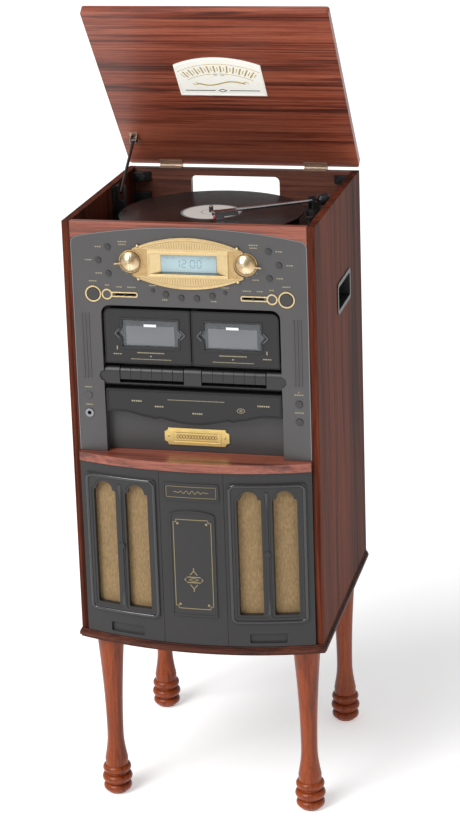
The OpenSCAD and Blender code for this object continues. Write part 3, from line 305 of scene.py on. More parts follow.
def fascia_finish(name, painted_dimming=1.0, coat=0.12, shine=0.5):
    """Satin charcoal plastic; the bar of keys is nearly black. The recess floor is darkened and the deep gaps
    around the decks are painted nearly black, both painted shade. A dimming factor below one darkens the whole
    finish, a painted-shade copy for the lower parts.
    """
    m = Finish(name, coat_weight=coat, coat_roughness=0.3, specular_ior_level=shine)
    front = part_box("upper_fascia")[0].y
    key_low, key_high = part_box("left_stop_key")
    door_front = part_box("left_tape_door")[0].y
    where = m.place()
    y, z = m.axis(where, "Y"), m.axis(where, "Z")
    stipple = m.noise(where, 2600.0)
    drift = m.noise(where, 9.0)
    # the dimming factor scales the base colour; below one it is painted shade
    tone = m.blend(drift, *(shade(srgb(v, v - 2, v - 2), painted_dimming) for v in (64, 76)))
    recess = y > front + 2 * MM
    deep = (y > door_front + 6 * MM) * (z > key_low.z - 20 * MM)
    key_bar = (z > key_low.z - 18 * MM) * (z < key_high.z + 3 * MM) * recess
    # painted shade: the recess floor behind the front is darkened
    tone = m.blend(recess * 0.4, tone, srgb(30, 29, 30))
    tone = m.blend(key_bar * 0.8, tone, srgb(26, 24, 25))
    # painted shade: the deep gaps around the decks are painted nearly black
    tone = m.blend(deep, tone, grey(12))
    m.set(base_color=tone, roughness=0.36 + drift * 0.12)
    return m.relief(stipple, depth=0.1, step=0.0002, edge=0.0012)


def vinyl_finish():
    """Black vinyl with grooves round the spindle, plain bands between the tracks, and a pale label."""
    m = Finish("vinyl", specular_ior_level=0.55)
    centre = middle("record") * MM
    where = m.place(move=(-centre.x, -centre.y, 0))
    x, y = m.axis(where, "X"), m.axis(where, "Y")
    r = (x.math("POWER", 2.0) + y.math("POWER", 2.0)).math("SQRT")
    groove = m.ripple(r, 1.1)
    gap = m.noise(m.add("ShaderNodeCombineXYZ", {}, {0: r * 300}), 1.0, detail=0.0)
    label = r < 50 * MM
    ring = (r > 46 * MM) * label + (r < 17 * MM) * (r > 15.6 * MM)
    tracks = m.ramp(gap, (0.62, 0.0), (0.66, 1.0))
    paper = m.noise(where, 400.0, detail=3.0)
    white = m.blend(paper * 0.3, srgb(214, 212, 206), srgb(180, 176, 168))
    white = m.blend(ring, white, srgb(120, 120, 122))
    black = m.blend(tracks, srgb(17, 17, 18), srgb(34, 34, 36))
    m.set(base_color=m.blend(label, black, white), roughness=0.24 + label * 0.3)
    return m.relief(groove * (1 - label) * (1 - tracks), depth=0.22, step=0.0002, edge=0.0004)


def cloth_finish():
    """Speaker cloth: a plain weave of two tan yarns with slubs, a little sheen."""
    m = Finish("grille_cloth", roughness=0.85, sheen_weight=0.35, sheen_roughness=0.4,
               sheen_tint=(0.9, 0.8, 0.6, 1.0))
    where = m.place()
    yarn = 1.5
    weave = m.ripple(m.axis(where, "X"), yarn) * m.ripple(m.axis(where, "Z"), yarn) * 0.5 + 0.5
    slub = m.noise(m.place(scale=(1.0, 1.0, 0.35)), 420.0, detail=3.0, rough=0.6)
    cloud = m.noise(where, 45.0, detail=3.0)
    tone = m.blend(weave, srgb(92, 74, 46), srgb(156, 128, 88))
    tone = m.blend(m.ramp(slub, (0.35, 0.0), (0.7, 1.0)) * 0.6, tone, srgb(176, 146, 104))
    tone = m.blend(cloud * 0.35, tone, srgb(104, 84, 54))
    m.set(base_color=tone)
    m.set(normal=m.add("ShaderNodeBump", {}, {"Strength": 0.5, "Distance": 0.0004,
                                              "Height": weave * 0.6 + slub * 0.5}))
    return m


def glass_finish(name, colour, alpha):
    """Thin smoked window: a clear dark film with a hard gloss."""
    m = Finish(name, base_color=colour, roughness=0.06, ior=1.5, coat_weight=0.6, coat_roughness=0.03)
    m.set(alpha=alpha + m.noise(m.place(), 30.0) * 0.08)
    return m


def lcd_finish():
    """Lit pale blue display, brighter in the middle, with the faint grid of its cells."""
    m = Finish("lcd_glass", roughness=0.18, coat_weight=0.4, coat_roughness=0.05, emission_strength=0.06)
    where = m.place(move=(0, 0, -middle("display").z * MM))
    x, z = m.axis(where, "X"), m.axis(where, "Z")
    fall = x * x * 160.0 + z * z * 500.0
    cell = 2.4
    cells = m.ripple(x, cell) * m.ripple(z, cell)
    tone = m.blend(fall, srgb(166, 188, 192), srgb(118, 138, 144))
    tone = m.blend((cells * 0.5 + 0.5) * 0.12, tone, srgb(90, 130, 150))
    m.set(base_color=tone, emission_color=tone)
    return m.relief(cells, depth=0.03, step=0.0001, edge=0.0004)


def enamel_finish():
    """Cream enamel badge with a slightly clouded gloss; it glows a little, painted light that makes it look
    brighter.
    """
    m = Finish("badge_enamel", roughness=0.3, coat_weight=0.5, coat_roughness=0.1,
               emission_strength=0.22)
    cloud = m.noise(m.place(), 60.0, detail=3.0)
    tone = m.blend(cloud * 0.5, srgb(252, 251, 244), srgb(240, 236, 222))
    m.set(base_color=tone, emission_color=tone)
    return m.relief(m.noise(m.place(), 900.0), depth=0.05, step=0.0002, edge=0.0005)


def print_finish(name, colour, metallic=0.0, rough=0.5):
    """Printed or foil-stamped marks, slightly uneven."""
    m = Finish(name, metallic=metallic)
    worn = m.noise(m.place(), 900.0)
    m.set(base_color=m.blend(worn * 0.5, colour, shade(colour, 0.7)), roughness=rough + worn * 0.1)
    return m


side_wood = wood("side_wood", "Z", srgb(40, 14, 8), srgb(84, 36, 20), srgb(112, 52, 30),
                 streak=0.6, gloss=0.62, coat=0.0, shine=0.12)
back_wood = wood("back_wood", "X", srgb(50, 24, 17), srgb(92, 48, 34), srgb(120, 68, 50),
                 streak=0.6, gloss=0.44, coat=0.15)
edge_wood = wood("edge_wood", "X", srgb(80, 34, 24), srgb(134, 68, 50), srgb(158, 90, 70),
                 streak=0.45, gloss=0.36)
base_wood = wood("base_wood", "X", srgb(36, 14, 9), srgb(70, 32, 20), srgb(94, 48, 31),
                 gloss=0.5, coat=0.05, shine=0.2)
lid_wood = wood("lid_wood", "X", srgb(74, 28, 17), srgb(140, 66, 44), srgb(172, 94, 68),
                streak=0.62, gloss=0.4, coat=0.2)
leg_wood = wood("leg_wood", "Z", srgb(84, 30, 8), srgb(128, 52, 12), srgb(148, 66, 18),
                streak=0.16, gloss=0.3, coat=0.22, shine=0.25)

FINISHES = {
    "side_wood": side_wood,
    "edge_wood": edge_wood,
    "lid_wood": lid_wood,
    "leg_wood": leg_wood,
    "black_plastic": plastic("black_plastic", srgb(34, 34, 35), 0.42),
    "fascia_plastic": fascia_finish("fascia_plastic"),
    "key_plastic": plastic("key_plastic", srgb(34, 32, 33), 0.36, edge=0.0009),
    "button_plastic": plastic("button_plastic", srgb(52, 51, 50), 0.34, edge=0.0009),
    "brass": brass_finish("brass"),
    "lcd_glass": lcd_finish(),
    "grille_cloth": cloth_finish(),
    "speaker_cone": plastic("speaker_cone", srgb(38, 37, 36), 0.8, grain=900.0, depth=0.3),
    "circuit_board": plastic("circuit_board", srgb(34, 84, 52), 0.4, grain=400.0, depth=0.2),
    "hinge_metal": metal("hinge_metal", srgb(196, 176, 160), 0.34, brush=(0.2, 1, 1)),
    "motor_steel": metal("motor_steel", srgb(170, 170, 172), 0.4, brush=(1, 1, 0.1)),
    "badge_enamel": enamel_finish(),
    "rod_steel": metal("rod_steel", srgb(88, 84, 82), 0.3, brush=(1, 0.2, 0.2)),
    "platter_mat": plastic("platter_mat", srgb(32, 32, 33), 0.7, grain=1500.0, depth=0.4),
    "vinyl": vinyl_finish(),
    "idler_rubber": plastic("idler_rubber", srgb(28, 27, 27), 0.75, grain=1800.0, depth=0.3),
    "arm_metal": metal("arm_metal", srgb(206, 206, 210), 0.16),
    "smoked_window": glass_finish("smoked_window", srgb(92, 96, 100), 0.5),
}

cream_print = print_finish("cream_print", srgb(158, 148, 122), rough=0.55)
gold_foil = print_finish("gold_foil", srgb(214, 184, 92), metallic=0.25, rough=0.4)
pale_gold = print_finish("pale_gold", srgb(150, 136, 98), metallic=0.3, rough=0.5)
dark_print = print_finish("dark_print", srgb(58, 52, 46), rough=0.6)
lcd_print = print_finish("lcd_print", srgb(112, 146, 160), rough=0.4)
bronze_print = print_finish("bronze_print", srgb(166, 134, 88), metallic=0.6, rough=0.45)
# pale white of the strip painted as a window's highlight
painted_highlight_white = print_finish("painted_highlight_white", srgb(226, 228, 230), rough=0.2)
black_gloss = plastic("black_gloss", srgb(12, 12, 13), 0.26, depth=0.02, edge=0.0004, coat=0.15)
bead_plastic = plastic("bead_plastic", srgb(30, 30, 33), 0.2, depth=0.02, edge=0.0004, coat=0.5)
# matte black for beads that stand in for shadow gaps: painted shade
shadow_black = plastic("shadow_black", grey(9), 0.6, depth=0.05, edge=0.0004)
red_plastic = plastic("red_plastic", srgb(170, 24, 34), 0.3, edge=0.0003)
pane_plastic = plastic("pane_plastic", srgb(96, 98, 102), 0.14, depth=0.02, edge=0.0004, coat=0.7)
# lighter grey for the bead along the front's edge: painted highlight
rim_highlight_grey = plastic("rim_highlight_grey", srgb(112, 112, 114), 0.24, depth=0.03, edge=0.0003, coat=0.4)
# painted shade: the front's plastic at half brightness for the doors, drawer, centre panel and loudspeaker frames
shaded_lower_plastic = fascia_finish("shaded_lower_plastic", painted_dimming=0.5, coat=0.02, shine=0.3)
chrome = metal("chrome", srgb(226, 226, 230), 0.1)
dark_chrome = metal("dark_chrome", srgb(132, 132, 138), 0.16)
socket_metal = metal("socket_metal", srgb(150, 150, 154), 0.24)
plate_gold = metal("plate_gold", srgb(240, 212, 140), 0.34, depth=0.3, tarnish=0.4)


def brass_fields():
    """Brass of the escutcheon, with its dull band beside and around the display."""
    low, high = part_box("display")
    return brass_finish("brass_fields", (low.z - 1 * MM, high.z + 5 * MM, high.x + 4 * MM))


OWN_FINISHES = {
    "back_panel": back_wood,
    "base_plate": base_wood,
    "cd_drawer": shaded_lower_plastic,
    "left_tape_door": shaded_lower_plastic,
    "right_tape_door": shaded_lower_plastic,
    "centre_panel": shaded_lower_plastic,
    "speaker_frames": shaded_lower_plastic,
    "headphone_jack": socket_metal,
    "name_plate": plate_gold,
    "escutcheon": brass_fields(),
    "volume_knob": knob_finish("left_knob_brass", "volume_knob", -1),
    "tuning_knob": knob_finish("right_knob_brass", "tuning_knob", 1),
}

for sub in frame["record"]["subparts"]:
    mesh = frame["nodes"][sub["node"]].data
    mesh.materials.clear()
    mesh.materials.append(OWN_FINISHES.get(sub["node"], FINISHES[sub["material_slot"]]).material)


# ---- surfaces ----

def grid_faces(rows, cols, rows_close=False, cols_close=False):
    """Quads between the points of a grid; a way that closes joins its last line to its first."""
    i, j = np.meshgrid(np.arange(rows - (not rows_close)), np.arange(cols - (not cols_close)),
                       indexing="ij")
    below, beside = (i + 1) % rows, (j + 1) % cols
    corners = [i * cols + j, i * cols + beside, below * cols + beside, below * cols + j]
    return np.stack(corners, -1).reshape(-1, 4)


def unit(v):
    return v / np.linalg.norm(v, axis=-1, keepdims=True)


def swept(path, outward, profile, closed=False, swell=1.0):
    """A closed profile carried along a path: each point is the path's point, plus the profile's first
    value times the sideways direction (tangent across outward), plus its second value times outward.
    Swell scales the profile, from point to point where it is a list."""
    path = np.asarray(path, float)
    outward = unit(np.broadcast_to(np.asarray(outward, float), path.shape))
    if closed:
        tangent = np.roll(path, -1, 0) - np.roll(path, 1, 0)
    else:
        tangent = np.gradient(path, axis=0)
    side = unit(np.cross(unit(tangent), outward))
    size = np.broadcast_to(swell, len(path))[:, None, None]
    profile = np.asarray(profile, float)
    across, out = profile[None, :, :1] * size, profile[None, :, 1:] * size
    points = path[:, None] + across * side[:, None] + out * outward[:, None]
    n, k = len(path), len(profile)
    faces = grid_faces(n, k, closed, True).tolist()
    if not closed:
        faces += [list(range(k)), list(range(n * k - k, n * k))]
    return points.reshape(-1, 3), faces


def turned(profile, centre, axis=(0, -1, 0), around=32, ripple=0.0, lobes=0):
    """A profile of (radius, height) spun about an axis; the radius may swell and sink in lobes."""
    profile = np.asarray(profile, float)
    axis = unit(np.asarray(axis, float))
    across = unit(np.cross(axis, (0.3, 0.2, 1.0) if abs(axis[2]) < 0.9 else (1.0, 0, 0)))
    other = np.cross(axis, across)
    angle = np.linspace(0, FULL_TURN, around, endpoint=False)
    radius = (profile[:, :1] * (1 + ripple * np.cos(lobes * angle)))[..., None]
    spoke = np.cos(angle)[:, None] * across + np.sin(angle)[:, None] * other
    points = np.asarray(centre, float) + radius * spoke[None] + profile[:, 1, None, None] * axis
    return points.reshape(-1, 3), grid_faces(len(profile), around, False, True).tolist()


def slab(front, back):
    """Closed sheet between two grids of points: both faces, and walls round their edges."""
    rows, cols = front.shape[:2]
    count = rows * cols
    index = np.arange(count).reshape(rows, cols)
    rim = np.concatenate([index[0, :-1], index[:-1, -1], index[-1, :0:-1], index[:0:-1, 0]])
    after = np.roll(rim, -1)
    walls = np.stack([rim, after, after + count, rim + count], -1)
    quads = grid_faces(rows, cols)
    points = np.concatenate([front.reshape(-1, 3), back.reshape(-1, 3)])
    return points, np.concatenate([quads, quads[:, ::-1] + count, walls]).tolist()


def added(name, mesh, finish, body):
    """Puts a finished mesh in the scene, riding on a body."""
    mesh.materials.append(finish.material)
    made = bpy.data.objects.new(name, mesh)
    bpy.context.scene.collection.objects.link(made)
    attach(made, body)
    return made


def piece(name, parts, finish, body, smooth=True):
    """One piece from closed parts in millimetres: doubles merged, faces turned outwards, and edges
    left sharp where the faces meet at more than a slight angle."""
    sharp_angle = 0.6
    points, faces, start = [], [], 0
    for part_points, part_faces in parts:
        points.append(part_points)
        faces += [[i + start for i in face] for face in part_faces]
        start += len(part_points)
    mesh = bpy.data.meshes.new(name)
    mesh.from_pydata((np.concatenate(points) * MM).tolist(), [], faces)
    work = bmesh.new()
    work.from_mesh(mesh)
    bmesh.ops.remove_doubles(work, verts=work.verts, dist=1e-7)
    bmesh.ops.recalc_face_normals(work, faces=work.faces)
    for face in work.faces:
        face.smooth = smooth
    for edge in work.edges:
        if len(edge.link_faces) == 2 and edge.calc_face_angle(0.0) > sharp_angle:
            edge.smooth = False
    work.to_mesh(mesh)
    work.free()
    return added(name, mesh, finish, body)


def bar_profile(width, height):
    """Cross-section of a flat raised line with eased upper corners: (across, out) points in order."""
    w, e = width / 2, min(width, height) / 4
    return [(-w, 0), (w, 0), (w, height - e), (w - e, height), (e - w, height), (-w, height - e)]


def on_front(y):
    """Places (x, z) on an upright plane that faces forward."""
    def where(line):
        line = np.asarray(line, float)
        return np.stack([line[:, 0], np.full(len(line), y), line[:, 1]], -1), (0, -1, 0)
    return where


def on_bow(proud):
    """Places (x, z) proud of the bowed front: y is the arc's centre less the root of the radius
    squared less x squared."""
    def where(line):
        line = np.asarray(line, float)
        depth = np.sqrt((BOW_RADIUS + proud) ** 2 - line[:, 0] ** 2)
        points = np.stack([line[:, 0], BOW_CENTRE_Y - depth, line[:, 1]], -1)
        return points, np.stack([line[:, 0], -depth, np.zeros(len(line))], -1)
    return where


def dense(line, step=2.0, closed=False):
    """The corners of a line with points added between them, no further apart than the step."""
    line = np.asarray(line, float)
    if closed:
        line = np.concatenate([line, line[:1]])
    lengths = np.concatenate([[0], np.cumsum(np.linalg.norm(np.diff(line, axis=0), axis=1))])
    count = np.maximum(np.ceil(np.diff(lengths) / step - 1e-9).astype(int), 1)
    stops = [np.linspace(a, b, n, endpoint=False) for a, b, n in zip(lengths[:-1], lengths[1:], count)]
    stops = np.concatenate(stops + [lengths[-1:]])
    made = np.stack([np.interp(stops, lengths, line[:, i]) for i in (0, 1)], -1)
    return made[:-1] if closed else made


def stroke(where, line, width, height, closed=False):
    path, outward = where(line)
    return swept(path, outward, bar_profile(width, height), closed)


def outline(where, corners, width, height, step=3.0):
    """Raised line round a closed shape."""
    return stroke(where, dense(corners, step, True), width, height, True)


def dashes(where, marks, width, height=0.08):
    """Short level bars: each mark is (middle x, z, length)."""
    return [stroke(where, [(x - n / 2, z), (x, z), (x + n / 2, z)], width, height) for x, z, n in marks]


def words(where, marks, height=1.7):
    """Each mark as a row of short blocks with gaps, in place of words: marks are (x, z, length)."""
    block_pitch = 3.4
    parts = []
    for x, z, length in marks:
        count = max(1, round(length / block_pitch))
        pitch = length / count
        for k in range(count):
            size = pitch * (0.62 + 0.2 * ((k * 7 + count) % 3) / 2)
            parts += dashes(where, [(x - length / 2 + pitch * (k + 0.5), z, size)], height)
    return parts


def arc(cx, cz, radius, start, end, n=16, squash=1.0):
    t = np.radians(np.linspace(start, end, n))
    return np.stack([cx + radius * np.cos(t), cz + squash * radius * np.sin(t)], -1)


# ---- camera, light, floor ----

def stand_camera():
    lens = bpy.data.cameras.new("view")
    lens.sensor_width = 36.0
    lens.lens = 95.815
    lens.shift_y = -190 / 818
    lens.clip_end = 200.0
    view = bpy.data.objects.new("view", lens)
    view.location = (0.8335, -3.3171, 1.7975)
    view.rotation_euler = [math.radians(a) for a in (76.0201, 1.8512, 13.2900)]
    bpy.context.scene.collection.objects.link(view)
    bpy.context.scene.camera = view


def hung_light(name, kind, energy, direction, spot=(0, 0, 0)):
    """A lamp at a spot, shining along a direction; returns its data for the settings of its kind."""
    data = bpy.data.lights.new(name, kind)
    data.energy = energy
    lamp = bpy.data.objects.new(name, data)
    lamp.location = spot
    lamp.rotation_euler = Vector(direction).to_track_quat("-Z", "Y").to_euler()
    bpy.context.scene.collection.objects.link(lamp)
    return data


def area_light(name, spot, aim, size, watts):
    data = hung_light(name, "AREA", watts, Vector(aim) - Vector(spot), spot)
    data.shape = "RECTANGLE"
    data.size, data.size_y = size


def studio():
    """White surroundings, one wide sun, a key and a fill light, and a floor of pale paper."""
    world = bpy.data.worlds.new("studio")
    world.use_nodes = True
    sky = world.node_tree.nodes["Background"]
    sky.inputs["Color"].default_value = (1.0, 1.0, 1.0, 1.0)
    sky.inputs["Strength"].default_value = 0.42
    bpy.context.scene.world = world
    hung_light("sky_light", "SUN", 1.7, (0.45, 0.62, -0.9)).angle = math.radians(35)
    area_light("key", (-1.6, -2.6, 2.4), (0, 0, 0.75), (1.2, 1.2), 34)
    area_light("fill", (2.6, -2.6, 1.2), (0, 0, 0.6), (1.6, 2.0), 9)
    paper = Finish("floor_paper", roughness=0.9, emission_color=(1, 1, 1), emission_strength=0.38)
    cloud = paper.noise(paper.place(), 1.5)
    paper.set(base_color=paper.blend(cloud, grey(250), srgb(246, 246, 247)))
    reach = 60.0
    corners = [(-reach, -reach, 0), (reach, -reach, 0), (reach, reach, 0), (-reach, reach, 0)]
    mesh = bpy.data.meshes.new("floor")
    mesh.from_pydata(corners, [], [(0, 1, 2, 3)])
    mesh.materials.append(paper.material)
    floor = bpy.data.objects.new("floor", mesh)
    bpy.context.scene.collection.objects.link(floor)
    bpy.context.scene.view_settings.view_transform = "Standard"


# ---- printed marks and trim of the upper front ----

def upper_front_marks():
    """Rows of plain blocks beside the controls, where the front is printed, and ticks under the knobs."""
    trim_low, trim_high = box("brass_trims")
    trim_z = (trim_low.z + trim_high.z) / 2
    knob_z = middle("tuning_knob").z
    where = on_front(trim_high.y)
    marks = []
    for side in (-1, 1):
        beside_buttons = [(143.5, 22.0, 11), (160.0, 0.5, 11), (144.0, -20.5, 11)]
        above_knob = [(104, 31, 15), (104, 26.5, 12)]
        above_trims = [(154, 20.5, 13), (131, 14.5, 8), (112, 12, 10), (92, 12, 14), (58, 16, 12),
                       (39, -6.5, 9)]
        marks += [(side * x, knob_z + dz, n) for x, dz, n in beside_buttons + above_knob]
        marks += [(side * x, trim_z + dz, n) for x, dz, n in above_trims]
    marks.append((106, knob_z - 24, 11))
    strip_x = middle("cd_open_button").x
    for node in ("cd_open_button", "cd_play_button"):
        button_z = box(node)[0].z
        marks += [(strip_x, button_z + 21.5, 15), (-strip_x, button_z + 20, 12)]
    marks.append((strip_x, box("cd_open_button")[0].z + 26, 2.4))
    piece("front_marks", words(where, marks), cream_print, "cabinet", False)
    tick_r = 21.2
    ticks = [stroke(where, arc(side * KNOB_X, knob_z, tick_r, a, a + 3, 3), 1.2, 0.1)
             for side in (-1, 1) for a in range(200, 345, 24)]
    piece("knob_ticks", ticks, cream_print, "cabinet", False)


def front_rim():
    """Moulded bead along the upper front's edge, in a lighter grey than the front: a painted highlight of the
    edge. The top is an arch of radius (half^2 + rise^2) / 2 rise, and its corners are arcs that touch the arch and
    the sides."""
    low, high = box("upper_fascia")
    half, inset = high.x, 0.8
    radius = (half ** 2 + FASCIA_RISE ** 2) / (2 * FASCIA_RISE)
    centre_z = high.z - radius
    corner_x = half - FASCIA_CORNER
    corner_z = centre_z + math.sqrt((radius - FASCIA_CORNER) ** 2 - corner_x ** 2)
    lean = math.atan2(corner_x, corner_z - centre_z)
    t = np.linspace(-lean, lean, 60)[1:-1]
    top = np.stack([np.sin(t), np.cos(t)], -1) * (radius - inset) + (0, centre_z)
    left = arc(-corner_x, corner_z, FASCIA_CORNER - inset, 180, 90 + math.degrees(lean), 8)
    right = left[::-1] * (-1, 1)
    foot = np.array([(half - inset, low.z + 1)])
    line = np.concatenate([foot * (-1, 1), left, top, right, foot])
    piece("front_rim", [stroke(on_front(FASCIA_Y), dense(line, 6), 1.5, 0.5)],
          rim_highlight_grey, "cabinet")


def lens_edge(x):
    """Height of the escutcheon's lens-shaped edge above its middle, rise - x^2 / 2r."""
    return 37.8 - x * x / 451


def escutcheon_engraving():
    """Fluting of the two lens-shaped fields, each flute ending just inside the lens's edge."""
    z = middle("escutcheon").z
    where = on_front(ESCUTCHEON_FIELD_Y)
    flute_pitch, flute_lean, width, height = 4.2, 0.94, 0.7, 0.05
    parts = []
    for s in (-1, 1):
        for x in flute_pitch * np.arange(-15, 16):
            flute = [(x * flute_lean, z + s * 23), (x, z + s * (lens_edge(x) - 4.2))]
            parts.append(stroke(where, dense(flute, 4), width, height))
        x = np.linspace(-76, 76, 40)
        parts.append(stroke(where, np.stack([x, z + s * (lens_edge(x) - 2.4)], -1), width, height))
    piece("escutcheon_flutes", parts, bronze_print, "cabinet", False)


def escutcheon_beads():
    """Four small brass beads where the display's frame meets the knobs' rings."""
    z = middle("escutcheon").z
    y = box("escutcheon")[0].y + 1.4
    bead = [(0, 3.0), (1.2, 2.8), (2.2, 2.0), (2.8, 0.6), (2.8, -0.2), (0, -0.2)]
    parts = [turned(bead, (sx * 79, y, z + sz * 26.5), around=20) for sx in (-1, 1) for sz in (-1, 1)]
    piece("escutcheon_beads", parts, FINISHES["brass"], "cabinet")


def display_digits():
    """Seven-bar figures of a clock on the display, drawn from bars that are on or off."""
    where = on_front(box("display")[0].y)
    figure_w, figure_h, bar_w, height = 6.2, 12, 1.3, 0.06
    foot = middle("display").z - figure_h / 2
    bars = {"a": ((0, 2), (1, 2)), "b": ((1, 2), (1, 1)), "c": ((1, 1), (1, 0)), "d": ((0, 0), (1, 0)),
            "e": ((0, 0), (0, 1)), "f": ((0, 1), (0, 2)), "g": ((0, 1), (1, 1))}
    figures = ((-21, "bc"), (-10.5, "abged"), (3, "abcdef"), (13.5, "abcdef"))
    parts = []
    for left, shown in figures:
        for bar in shown:
            ends = np.array(bars[bar]) * (figure_w, figure_h / 2) + (left, foot)
            trim = (ends[1] - ends[0]) * 0.12
            start, end = ends[0] + trim, ends[1] - trim
            parts.append(stroke(where, [start, (start + end) / 2, end], bar_w, height))
    for rise in (4, 8):
        parts += dashes(where, [(0.6, foot + rise, 1.2)], 1.2, height)
    parts += dashes(where, [(x, foot + 15, 5) for x in (-34, -24, 20, 32)], 0.8, height)
    piece("display_digits", parts, lcd_print, "cabinet", False)


def knob_collar(name, node, body, side):
    """Milled collar under a knob's dome: a ring whose radius ripples round it."""
    centre = (side * KNOB_X, box("brass_trims")[1].y, middle(node).z)
    ring = [(14.9, 0.6), (16.0, 0.6), (16.2, 1.2), (16.2, 3.6), (15.7, 4.6), (14.9, 4.8), (14.9, 0.6)]
    collar = turned(ring, centre, around=192, ripple=0.012, lobes=48)
    piece(name, [collar], FINISHES["brass"], body)


# ---- cassette doors, drawer and name plate ----

def window_corners(grow):
    """Corners of a window's outline about its own centre, a lozenge point on each side."""
    low, high = box("right_door_window")
    point = 8
    half_h = (high.z - low.z) / 2 + grow
    tip = (high.x - low.x) / 2 + grow
    half_w = tip - point
    return np.array([(-half_w, half_h), (half_w, half_h), (half_w, point), (tip, 0), (half_w, -point),
                     (half_w, -half_h), (-half_w, -half_h), (-half_w, -point), (-tip, 0),
                     (-half_w, point)])


def dress_door(side, body):
    """Rim, side tips, pane, a pale strip painted as the pane's highlight, and printed bars of a cassette door. The
    pane is a sheet whose front is crowned by (1 - u^2)(1 - v^2)."""
    window_y = box(f"{side}_door_window")[0].y
    centre = middle(f"{side}_door_window")
    cx, cz = centre.x, centre.z
    face = on_front(box(f"{side}_tape_door")[0].y)
    piece(f"{side}_window_rim", [outline(face, window_corners(1.6) + (cx, cz), 3.2, 1.1)],
          black_gloss, body)
    tips = [stroke(face, dense([(cx + s * 49, cz + 8), (cx + s * 56.5, cz), (cx + s * 49, cz - 8)], 1.5),
                   1.3, 1.7) for s in (-1, 1)]
    piece(f"{side}_window_tips", tips, dark_chrome, body)
    u, v = np.meshgrid(np.linspace(-1, 1, 25), np.linspace(-1, 1, 9), indexing="ij")
    crown = 0.7 * (1 - u ** 2) * (1 - v ** 2)
    front = np.stack([cx + u * 39, window_y - 0.15 - crown, cz - 3.5 + v * 15.5], -1)
    back = front.copy()
    back[..., 1] = window_y - 0.02
    piece(f"{side}_window_pane", [slab(front, back)], pane_plastic, body)
    # painted highlight: a pale strip at the top of the pane
    lamp = dense([(cx - 10, cz + 13), (cx + 10, cz + 13)])
    piece(f"{side}_window_highlight", [stroke(on_front(window_y - 0.6), lamp, 4.2, 0.5)],
          painted_highlight_white, body)
    outer_x = cx + (-54 if side == "left" else 54)
    parts = words(face, [(cx, cz - 31, 44), (cx, cz - 36.5, 4), (outer_x, cz - 34, 14)])
    parts += words(face, [(cx, cz - 41.5, 66)], 1.1)
    parts.append(stroke(face, dense([(outer_x, cz - 27), (outer_x, cz - 21)]), 1.6, 0.1))
    piece(f"{side}_door_marks", parts, cream_print, body, False)


def dress_drawer():
    """Printed bars of the disc drawer, and a disc of two flattened rings."""
    low, high = box("cd_drawer")
    face = on_front(low.y)
    parts = words(face, [(4, high.z - 15, 92)], 1.1)
    parts += words(face, [(x, high.z - drop, n) for x, drop, n in
                          ((-92, 19, 17), (-56, 27, 15), (6, 36, 17), (112, 19, 20))], 2.4)
    parts += [stroke(face, arc(76, high.z - 28, r, 0, 345, 24, 0.6), 0.8, 0.08, True) for r in (6, 2)]
    piece("drawer_marks", parts, cream_print, "drawer", False)


def drawer_wave(x):
    """Depth of the drawer's lower edge below its top: belly, cusps and shoulders, each a cosine."""
    a = abs(x)
    belly_end, cusp_end, shoulder_w, level = 56, 70, 45, 46
    if a < belly_end:
        return level + 9 * math.cos(math.pi / 2 * a / belly_end)
    if a < cusp_end:
        return level + 2.5 * math.sin(math.pi * (a - belly_end) / (cusp_end - belly_end))
    return level - 8 + 4 * (1 + math.cos(math.pi * min(1, (a - cusp_end) / shoulder_w)))


def shadow_gap_beads():
    """Black beads standing in for the shadow gaps round the cassette doors and the shadow under the drawer's waved
    front: painted shade.
    """
    low, high = box("cd_drawer")
    half = high.x - 1.7
    wave = [(x, high.z - drawer_wave(x) + 1.9) for x in np.linspace(-half, half, 120)]
    corners = [(-half, high.z - 1.7)] + wave + [(half, high.z - 1.7)]
    piece("drawer_shadow_bead", [outline(on_front(low.y), corners, 3.4, 0.6)], shadow_black, "drawer")
    inset, door_h, bend_r = 1.1, 88, 10
    for side, s in (("left", -1), ("right", 1)):
        low, high = box(f"{side}_tape_door")
        top = box(f"{side}_door_window")[1].z + 16.7
        bottom = high.z - door_h + inset
        inner, outer = sorted((low.x, high.x), key=abs)
        inner, outer = inner + s * inset, outer - s * inset
        bend = arc(0, top - bend_r, bend_r, 90, 0, 10) * (s, 1) + (outer - s * bend_r, 0)
        corners = [(inner, bottom), (inner, top), *bend, (outer, bottom)]
        piece(f"{side}_door_shadow_bead", [outline(on_front(low.y), corners, 2.1, 0.5)],
              shadow_black, f"{side}_door")


def dress_name_plate():
    """Two crossing waves between two lines, in place of any name, and a dark cross on each screw head, painted
    shade of its cross slot.
    """
    low, high = box("name_plate")
    cz = (low.z + high.z) / 2
    face = on_front(low.y + 0.8)
    waves, wave_h, half_line, line_rise = 7, 3.2, 34, 6.6
    t = np.linspace(0, 1, 161)
    rise = wave_h * np.sin(t * FULL_TURN * waves)
    parts = [stroke(face, np.stack([(t - 0.5) * 66, cz + s * rise], -1), 1.0, 0.5) for s in (1, -1)]
    parts += [stroke(face, dense([(-half_line, cz + s * line_rise), (half_line, cz + s * line_rise)]),
                     0.7, 0.4) for s in (-1, 1)]
    piece("plate_scroll", parts, bronze_print, "cabinet", False)
    # painted shade: dark raised crosses in place of the screws' cross slots
    head = on_front(low.y - 0.02)
    slot_shade_marks = []
    for x in (low.x + 6.5, high.x - 6.5):
        for a, b in ((1.5, 0.45), (-0.45, 1.5)):
            slot_shade_marks.append(stroke(head, dense([(x + a, cz + b), (x - a, cz - b)], 1), 0.6, 0.06))
    piece("plate_screw_slot_shade", slot_shade_marks, dark_print, "cabinet", False)


# ---- lower front ----

